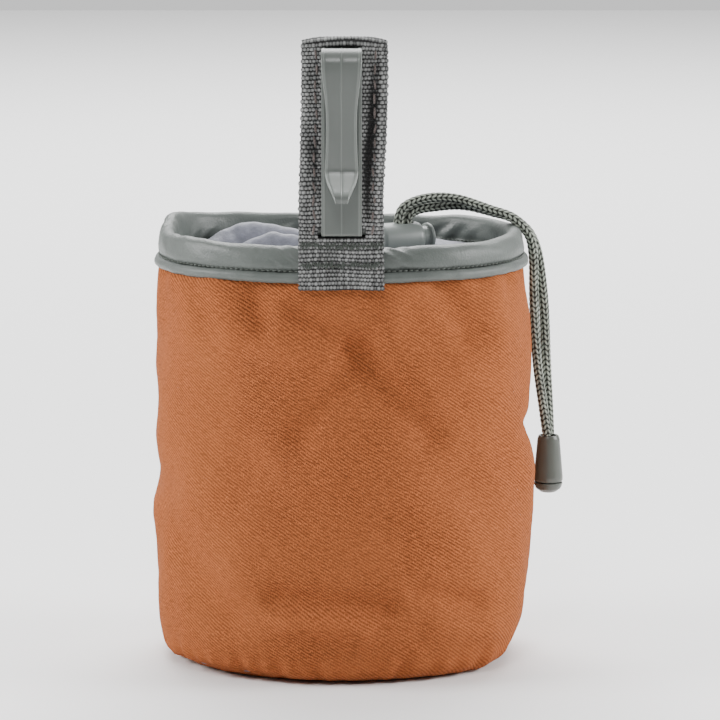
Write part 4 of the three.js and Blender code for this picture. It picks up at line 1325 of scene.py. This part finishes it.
def make_cord_lock():
    """The barrel, the plunger with its thumb disc, and the spring between them."""
    plastic = moulded_material("satin grey lock plastic", cord_settings().lock, 0.36)
    barrel_outline = rounded(
        [(0, -10), (3.6, -10), (5.2, -8.8), (5.2, 4.0), (4.75, 5.2), (3.85, 5.2), (3.8, 4.4),
         (3.8, -8.6), (0, -8.6)], 0.7,
    )
    plunger_outline = rounded(
        [(0, -4.85), (3.45, -4.85), (3.45, 7.9), (4.4, 8.05), (4.45, 9.0), (3.6, 9.5), (2.6, 9.2),
         (0, 9.2)], 0.4,
    )
    for name, outline, body, node, travel in (
        ("cord_lock_barrel_moulding", barrel_outline, "lock", "cord_lock_barrel", 0),
        ("cord_lock_plunger_moulding", plunger_outline, "plunger", "cord_lock_plunger", PRESS_TRAVEL),
    ):
        cutter = slot_cutter(travel)
        piece = new_object(name, surface(name, along_lock(lathe(outline, 72)), wrap_cols=True))
        weld_and_turn_out(piece)
        cut(piece, cutter)
        soften(piece, 0.18)
        bpy.data.objects.remove(cutter)
        finish_piece(piece, body, plastic, [node])
    t = np.linspace(0, 1, 120)
    turn = t * 3 * TAU
    helix = np.stack([2.85 * np.cos(turn), 2.85 * np.sin(turn), -8.25 + 3.05 * t], -1)
    wire = tube_points(along_lock(helix), 0.3, 10)
    spring = new_object("cord_lock_spring_wire", surface("spring", wire, wrap_cols=True, caps=True))
    weld_and_turn_out(spring)
    finish_piece(spring, "lock", steel_material(), ["cord_lock_spring"])
    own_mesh(spring)


def make_hem_loop(material):
    """The part of the drawcord inside the hem, its ends turned up under the lock."""
    angle = np.linspace(0.47, TAU + 0.08, 23)
    x = HEM_CENTRE[0] + HEM_HALF[0] * np.cos(angle)
    y = HEM_CENTRE[1] + HEM_HALF[1] * np.sin(angle)
    route = [tuple(p) for p in np.stack([x, y, 0 * x + HEM_Z], -1)]
    top = CORD_START_Z - 0.3
    route = [(*STRAND_B, top), (*STRAND_B, top - 1.5), *route, (*STRAND_A, top - 1.5), (*STRAND_A, top)]
    path = smooth_path(route, 0.22)
    along = np.linspace(0, path_length(path), len(path))[:, None]
    turn = (np.arange(32) / 32 * TAU)[None, :] + 0 * along
    lift = braid_lift(along, turn, 8, 2.0, 0.9)
    tube = tube_points(path, 1.5 * (0.86 + 0.14 * lift), 32, up=(0, 0, 1))
    mesh = surface("hem_loop", tube, wrap_cols=True, caps=True)
    store(mesh, "lift", np.append(lift.ravel(), [0, 0]))
    loop = new_object("drawcord_loop_braid", mesh)
    weld_and_turn_out(loop)
    finish_piece(loop, "bag", material, ["drawcord_loop_in_hem"])


# ---------- strap ----------
BEAD_PITCH = 1.0
CLIP_WIDTH = 12.0
CLIP_CENTRE_X = (PLATE_LOW[0] + PLATE_HIGH[0]) / 2
BACK_Y = -44.75  # middle of the back layer
FRONT_Y = -47.35  # middle of the front layer above the bend
LOW_FRONT_Y = -46.25  # middle of the front layer below the bend


def side_normals(path):
    """Normals of a path that lies in a plane of constant x, turned a quarter from its tangents."""
    tangent = np.gradient(path, axis=0)
    tangent /= np.linalg.norm(tangent, axis=1, keepdims=True)
    return np.stack([0 * tangent[:, 0], -tangent[:, 2], tangent[:, 1]], -1)


def strap_path():
    """Side view of the webbing from its front foot, up, over the fold and down the back: (y, z)."""
    top = STRAP_HIGH[2] - 0.6
    radius = (BACK_Y - FRONT_Y) / 2
    turn = np.linspace(math.pi, 0, 9)
    fold_y = BACK_Y - radius + radius * np.cos(turn)
    fold = np.stack([fold_y, top - radius + radius * np.sin(turn)], -1)
    low = [(LOW_FRONT_Y, STRAP_FOOT[2]), (LOW_FRONT_Y, 133.8), (FRONT_Y, 137.4)]
    back = [(BACK_Y, 126.3)]
    line = np.concatenate([low, fold, back])
    line = rounded(line, 1.2, 5)
    points = np.stack([0 * line[:, 0], line[:, 0], line[:, 1]], -1)
    return even_steps(points, 0.3)


def webbing_beads(along, across, pitch):
    """Height of the ribs, and of the beads on them, each from 0 to 1.

    The ribs are rows of beads, half a bead apart from row to row: a product of two sines raised
    to a power, whose rows drift a little and whose beads are not all as high.
    """
    grid = np.stack(np.broadcast_arrays(across, along, 0 * along), -1)
    drift = along + 0.2 * waves(grid, 80, 6, 9, 30)
    row_number = np.floor(drift / pitch)
    wander = 0.12 * waves(grid, 81, 7, 5, 16) + 0.35 * np.sin(row_number * 12.9)
    wander = wander + 0.5 * math.pi * (row_number % 2)
    bead = np.abs(np.sin(math.pi * across / BEAD_PITCH + wander))
    rib = np.abs(np.sin(math.pi * drift / pitch)) ** 1.6
    each = np.sin(np.floor(across / BEAD_PITCH + wander / math.pi) * 78.2 + row_number * 37.7)
    lift = rib * (0.45 + 0.55 * bead**1.2) * (0.9 + 0.1 * each)
    return rib, lift, 0.14 * waves(grid, 82, 6, 14, 50)


def clip_draw(y, height, across):
    """How the front layer is drawn in along the clip, more so on its right, and the painted shade that
    darkens its drawn-in folds.
    """
    front = smoothstep(-y, 46.6, 47.2) * smoothstep(height, 139, 146)
    front = front * smoothstep(-height, -192, -184)
    right = bell_curve(across, 20.6 + 0.6 * np.sin(height / 9), 1.5)
    right = right * (0.5 + bell_curve(height, 164, 14))
    left = bell_curve(across, 4.6 + 0.5 * np.sin(height / 7), 1.3) * (0.4 + 0.4 * np.sin(height / 6))
    raised_edges = 0.6 * (bell_curve(across, 23.2, 1.2) + bell_curve(across, 1.6, 1.2))
    push = front * (raised_edges - 0.85 * right - 0.7 * left)
    return push, 1 - front * np.clip(0.55 * right + 0.35 * left, 0, 0.7)


def make_webbing():
    """One length of ribbed webbing, folded over, with the clip's opening left out of its front."""
    settings = strap_settings()
    path = strap_path()
    rows, columns = len(path), 116
    along = np.linspace(0, path_length(path), rows)[:, None]
    low_x, high_x = STRAP_LOW[0], STRAP_HIGH[0]
    across = np.linspace(0, high_x - low_x, columns)[None, :]
    rib, lift, slack = webbing_beads(along, across, settings.rib_pitch / MM)
    height = path[:, 2:3]
    share = across / across.max() * 2 - 1
    drawn, shadow = clip_draw(path[:, 1:2], height, across)
    crown = 0.25 * (1 - share**2) * smoothstep(height, 138, 150)
    push = 0.5 * (lift - 0.5) + slack + crown + drawn
    # bar tacks press the webbing flat under them
    for z in (134.4, 128.8):
        push = push - 0.18 * bell_curve(height, z, 1.1)
    # beads stand out at the edges, the sides wander a little and the strap widens to the top
    sway = 0.08 * np.sin(height / 13.0 + 0.8)
    lean = 0.9 * smoothstep(height, 136, 190)
    inset = 0.45 * bell_curve(height, 150, 16) * (share > 0) + 0.3 * smoothstep(height, 193.5, 196)
    rounded_corners = 0.9 * smoothstep(height, 192, 196) * share**4
    x = low_x + across + lean + 0.2 * share**9 * (rib - 0.5) * 2 + sway - inset * share**3
    points = path[:, None] + side_normals(path)[:, None] * push[..., None]
    points[..., 0] = x
    points[..., 2] -= rounded_corners
    mesh = surface("webbing", points, uv_size=(along.max(), across.max()))
    # painted shade: `shadow` darkens the drawn-in folds beside the clip through the stored lift
    store(mesh, "lift", (lift * shadow).ravel())
    drop_clip_opening(mesh)
    strap = new_object("strap_webbing", mesh)
    solidify = add_thickness(strap, 1.05, offset=0)
    solidify.use_rim = True
    dark, light = (*settings.dark, 1), (*settings.light, 1)
    yarn = yarn_material("ribbed webbing", dark, light, 0.7, 0.25, 0.4)
    nodes = ["strap_back_layer_sewn_end", "strap_front_layer_sewn_end", "strap_upper_loop"]
    finish_piece(strap, None, yarn, nodes)
    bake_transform(strap)


def drop_clip_opening(mesh):
    """Takes out the faces of the front layer that the clip comes through."""
    work = bmesh.new()
    work.from_mesh(mesh)
    half = CLIP_WIDTH / 2
    gone = []
    for face in work.faces:
        x, y, z = (c / MM for c in face.calc_center_median())
        reach = half - 0.35 + (1.5 if z < PLATE_LOW[2] + 2.4 else 0)
        beside_plate = PLATE_LOW[2] - 0.5 < z < PLATE_HIGH[2] + 0.4
        if y < FRONT_Y + 0.9 and beside_plate and abs(x - CLIP_CENTRE_X) < reach:
            gone.append(face)
    bmesh.ops.delete(work, geom=gone, context="FACES")
    work.to_mesh(mesh)
    work.free()


def make_strap_stitches():
    """Two zigzag bar tacks below, and a line of stitches each side of the clip, front and back."""
    tack = thread_material("grey green thread", (0.045, 0.055, 0.046))
    seam = thread_material("brown pink thread", (0.1, 0.078, 0.072))
    low, high = STRAP_LOW[0] + 0.3, STRAP_HIGH[0] - 0.3
    rng = np.random.default_rng(91)
    count = 74
    x = np.linspace(low, high, count + 1) + rng.uniform(-0.4, 0.4, count + 1)
    for name, z in (("strap_bar_tack_high", 134.5), ("strap_bar_tack_low", 128.8)):
        zigzag = z + np.where(np.arange(count + 1) % 2 < 1, -1, 1) * rng.uniform(0.2, 1.6, count + 1)
        y = LOW_FRONT_Y - 0.72 - (0.2 if z > 130 else 0) + rng.uniform(-0.1, 0.1, count + 1)
        points = np.stack([x, y, zigzag], -1)
        rise = np.tile([0, -0.3, 0], (count, 1))
        stitch_row(name, points[:-1], points[1:], rise, 0.19, tack, "bag", sides=5)
    z = np.arange(137.8, 192.4, 4.3)
    lean = 0.9 * smoothstep(z, 136, 190)
    for name, y, side in (("front", FRONT_Y - 0.62, -1), ("back", BACK_Y + 0.72, 1)):
        starts, ends = [], []
        for column in (-7.7, 9.7):
            sway = rng.uniform(-0.5, 0.5, (2, len(z)))
            starts.append(np.stack([z * 0 + column + lean + sway[0], 0 * z + y, z], -1))
            upper = z + rng.uniform(2.6, 3.6, len(z))
            ends.append(np.stack([z * 0 + column + lean + sway[1], 0 * z + y, upper], -1))
        starts, ends = np.concatenate(starts), np.concatenate(ends)
        rise = np.tile([0, 0.45 * side, 0], (len(starts), 1))
        stitch_row(f"strap_stitches_{name}", starts, ends, rise, 0.34, seam, "strap")


# ---------- belt clip ----------
CLIP_TABLE = (
    # middle of the moulding as (y, z), half its thickness, half its width
    (-47.15, 137.5, 1.5, 5.95),
    (-47.15, 150.0, 1.5, 5.95),
    (-47.15, 170.0, 1.5, 5.95),
    (-47.15, 184.0, 1.5, 6.0),
    (-47.2, 187.2, 1.45, 6.0),
    (-47.85, 190.1, 1.25, 6.0),
    (-49.3, 191.7, 1.05, 6.0),
    (-51.15, 192.0, 1.0, 6.0),
    (-53.4, 190.9, 1.0, 5.95),
    (-54.5, 189.2, 1.0, 5.9),
    (-54.7, 187.0, 1.0, 5.75),
    (-54.55, 184.0, 1.0, 5.5),
    (-54.2, 180.0, 1.0, 5.0),
    (-53.8, 176.0, 1.0, 4.6),
    (-53.35, 171.0, 1.0, 4.45),
    (-52.95, 166.0, 1.0, 4.5),
    (-52.5, 161.0, 1.0, 4.7),
    (-52.15, 157.4, 1.0, 4.9),
    (-52.55, 156.3, 0.95, 4.88),
    (-54.2, 153.6, 0.85, 4.2),
    (-55.7, 151.1, 0.75, 3.0),
    (-56.2, 149.6, 0.6, 2.3),
    (-56.1, 148.1, 0.4, 1.8),
)


def oblong(width, thickness, edge, corner=4):
    """Points round an oblong of half sizes `width` and `thickness` with corner radius `edge`."""
    turn = np.linspace(0, math.pi / 2, corner)
    quarter = [(width - edge + edge * np.sin(turn)), (thickness - edge + edge * np.cos(turn))]
    share = np.array([0.04, 0.09, 0.3, 0.6, 0.8, 0.85, 0.9, 0.95])
    line = np.concatenate([-share[::-1], [0], share]) * (width - edge)
    flat = 0 * line + thickness
    x, y = quarter
    across = np.concatenate([line, x, x[::-1], line[::-1], -x, -x[::-1]])
    return across, np.concatenate([flat, y, -y[::-1], -flat, -y, y[::-1]])


def clip_face(centre, share, up, thickness):
    """Adds the low lips and the middle line to the seen face, and says how much painted highlight each
    point gets.

    The seen face is the inner one of the bend on the plate, and the outer one on the tongue.
    """
    share = np.abs(share)
    side = 1 if centre[1] > -48.5 else -1
    front = up * side > thickness * 0.9
    lip = bell_curve(share, 0.87, 0.045) + 0.8 * bell_curve(share, 0, 0.03)
    corner = smoothstep(share, 0.93, 1.0) * (np.abs(up) > thickness * 0.4)
    tip = 1.1 * smoothstep(-centre[2], -156.6, -155.8) * smoothstep(centre[2], 149.4, 151.0)
    # painted highlight: lips, middle line and, on the tongue, the tip's facet of the front face, then the
    # rounded corners
    pale = np.where(front, np.maximum(0.8 * lip, tip if side < 0 else 0), 0)
    return up + side * np.where(front, 0.17 * lip, 0), np.maximum(pale, 0.7 * corner)


def make_clip():
    """Plate, bend and springy tongue in one moulding, and its sewing flange."""
    plastic = moulded_material("satin grey clip plastic", strap_settings().clip, 0.3, 0.5)
    table = np.array(CLIP_TABLE)
    coarse = np.stack([0 * table[:, 0], table[:, 0], table[:, 1]], -1)
    path = smooth_path(coarse, 0.35)
    place = np.array([np.argmin(np.linalg.norm(path - p, axis=1)) for p in coarse])
    place[0], place[-1] = 0, len(path) - 1
    order = np.arange(len(path))
    thick = np.interp(order, place, table[:, 2])
    width = np.interp(order, place, table[:, 3])
    for _ in range(6):
        width[1:-1] = (width[:-2] + 2 * width[1:-1] + width[2:]) / 4
    ends = np.minimum(order, order[::-1]) * 0.35
    round_off = 1 - 0.25 * np.clip(1 - ends / 0.5, 0, 1) ** 2
    rings, edges = [], []
    for centre, n, t, w, r in zip(path, side_normals(path), thick, width, round_off):
        across, up = oblong(w, t * r, 0.3 * r)
        up, pale = clip_face(centre, across / w, up, t * r)
        edges.append(pale)
        ring = centre + np.outer(up, n) + np.outer(across, (1, 0, 0))
        rings.append(ring + (CLIP_CENTRE_X, 0, 0))
    mesh = surface("clip", np.array(rings), wrap_cols=True, caps=True)
    # the `edge` attribute carries the painted highlight for the plastic's colour
    store(mesh, "edge", np.append(np.array(edges).ravel(), [1, 1]))
    clip = new_object("belt_clip_moulding", mesh)
    weld_and_turn_out(clip)
    clip.data.set_sharp_from_angle(angle=math.radians(50))
    finish_piece(clip, None, plastic, ["belt_clip_back_plate", "belt_clip_tongue"])
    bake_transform(clip)
    foot, top = PLATE_LOW[2] + 0.3, PLATE_HIGH[2] - 0.4
    line = np.stack([np.zeros(40), np.full(40, -46.05), np.linspace(foot, top, 40)], -1)
    across, up = oblong((PLATE_HIGH - PLATE_LOW)[0] / 2, 0.4, 0.25)
    ring = np.stack([CLIP_CENTRE_X + across, up, 0 * across], -1)
    flange = new_object("belt_clip_flange_moulding", surface(
        "flange", line[:, None] + ring[None], wrap_cols=True, caps=True))
    weld_and_turn_out(flange)
    finish_piece(flange, "strap", plastic)


# ---------- operators ----------
class PouchStage(bpy.types.Operator):
    """Adds the camera, the lights and the floor."""

    bl_idname = "pouch.stage"
    bl_label = "Camera, lights and floor"

    def execute(self, context):
        make_stage()
        return {"FINISHED"}


class PouchCords(bpy.types.Operator):
    """Braids both strands of the drawcord and its loop, and turns the fittings at its end."""

    bl_idname = "pouch.cords"
    bl_label = "Drawcord"

    def execute(self, context):
        settings = cord_settings()
        braid = yarn_material("grey green braid", (*settings.dark, 1), (*settings.light, 1), low=0.3)
        ends = make_cord_end()
        make_cord(
            "drawcord_strand_a", STRAND_A_ROUTE,
            ["drawcord_strand_a_over_rim", "drawcord_strand_a_hanging"], braid,
        )
        make_cord(
            "drawcord_strand_b", STRAND_B_ROUTE,
            ["drawcord_strand_b_over_rim", "drawcord_strand_b_hanging"], braid,
        )
        make_hem_loop(braid)
        return {"FINISHED"}


class PouchLock(bpy.types.Operator):
    """Makes the barrel, plunger and spring of the cord lock."""

    bl_idname = "pouch.lock"
    bl_label = "Cord lock"

    def execute(self, context):
        make_cord_lock()
        return {"FINISHED"}


class PouchBag(bpy.types.Operator):
    """Sews the twill bag: its side and its base."""

    bl_idname = "pouch.bag"
    bl_label = "Twill bag"

    def execute(self, context):
        cloth = twill_material(tuple(bag_settings().twill))
        make_bag_side(cloth)
        make_bag_base(cloth)
        return {"FINISHED"}


class PouchLining(bpy.types.Operator):
    """Makes the lining and the gathered cuff."""

    bl_idname = "pouch.lining"
    bl_label = "Lining and cuff"

    def execute(self, context):
        nylon = nylon_material(tuple(bag_settings().nylon))
        make_lining(nylon)
        make_cuff(nylon)
        return {"FINISHED"}


class PouchRim(bpy.types.Operator):
    """Makes the rim's binding, its piping and their stitches."""

    bl_idname = "pouch.rim"
    bl_label = "Rim"

    def execute(self, context):
        leatherette = leatherette_material(tuple(bag_settings().leatherette))
        make_rim_binding(leatherette)
        make_piping(leatherette)
        make_rim_stitches(thread_material("dark green thread", (0.1, 0.115, 0.1)))
        return {"FINISHED"}


class PouchStrap(bpy.types.Operator):
    """Weaves the strap and sews its stitches."""

    bl_idname = "pouch.strap"
    bl_label = "Webbing strap"

    def execute(self, context):
        make_webbing()
        make_strap_stitches()
        return {"FINISHED"}


class PouchClip(bpy.types.Operator):
    """Moulds the belt clip."""

    bl_idname = "pouch.clip"
    bl_label = "Belt clip"

    def execute(self, context):
        make_clip()
        return {"FINISHED"}


OPERATORS = (PouchStage, PouchCords, PouchLock, PouchBag, PouchLining, PouchRim, PouchStrap, PouchClip)
SETTINGS = {
    "pouch_bag": PouchBagSettings,
    "pouch_cord": PouchCordSettings,
    "pouch_strap": PouchStrapSettings,
}


class PouchPanel(bpy.types.Panel):
    """Lists the pouch's settings and operators in the sidebar."""

    bl_idname = "VIEW3D_PT_pouch"
    bl_label = "Treat pouch"
    bl_space_type = "VIEW_3D"
    bl_region_type = "UI"
    bl_category = "Treat pouch"

    def draw(self, context):
        """A box for each group of settings, then a button for each operator."""
        for name, group in SETTINGS.items():
            box = self.layout.box()
            for key in group.__annotations__:
                box.prop(getattr(context.scene, name), key)
        for operator in OPERATORS:
            self.layout.operator(operator.bl_idname)


def register():
    """Registers the classes and hangs the settings on the scene."""
    for cls in (*SETTINGS.values(), *OPERATORS, PouchPanel):
        bpy.utils.register_class(cls)
    for name, group in SETTINGS.items():
        setattr(bpy.types.Scene, name, bpy.props.PointerProperty(type=group))


def unregister():
    """Undoes what register did, in reverse."""
    for name in SETTINGS:
        delattr(bpy.types.Scene, name)
    for cls in reversed((*SETTINGS.values(), *OPERATORS, PouchPanel)):
        bpy.utils.unregister_class(cls)


def main():
    """Registers the add-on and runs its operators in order."""
    register()
    for operator in OPERATORS:
        group, name = operator.bl_idname.split(".")
        getattr(getattr(bpy.ops, group), name)()


if __name__ == "__main__":
    main()
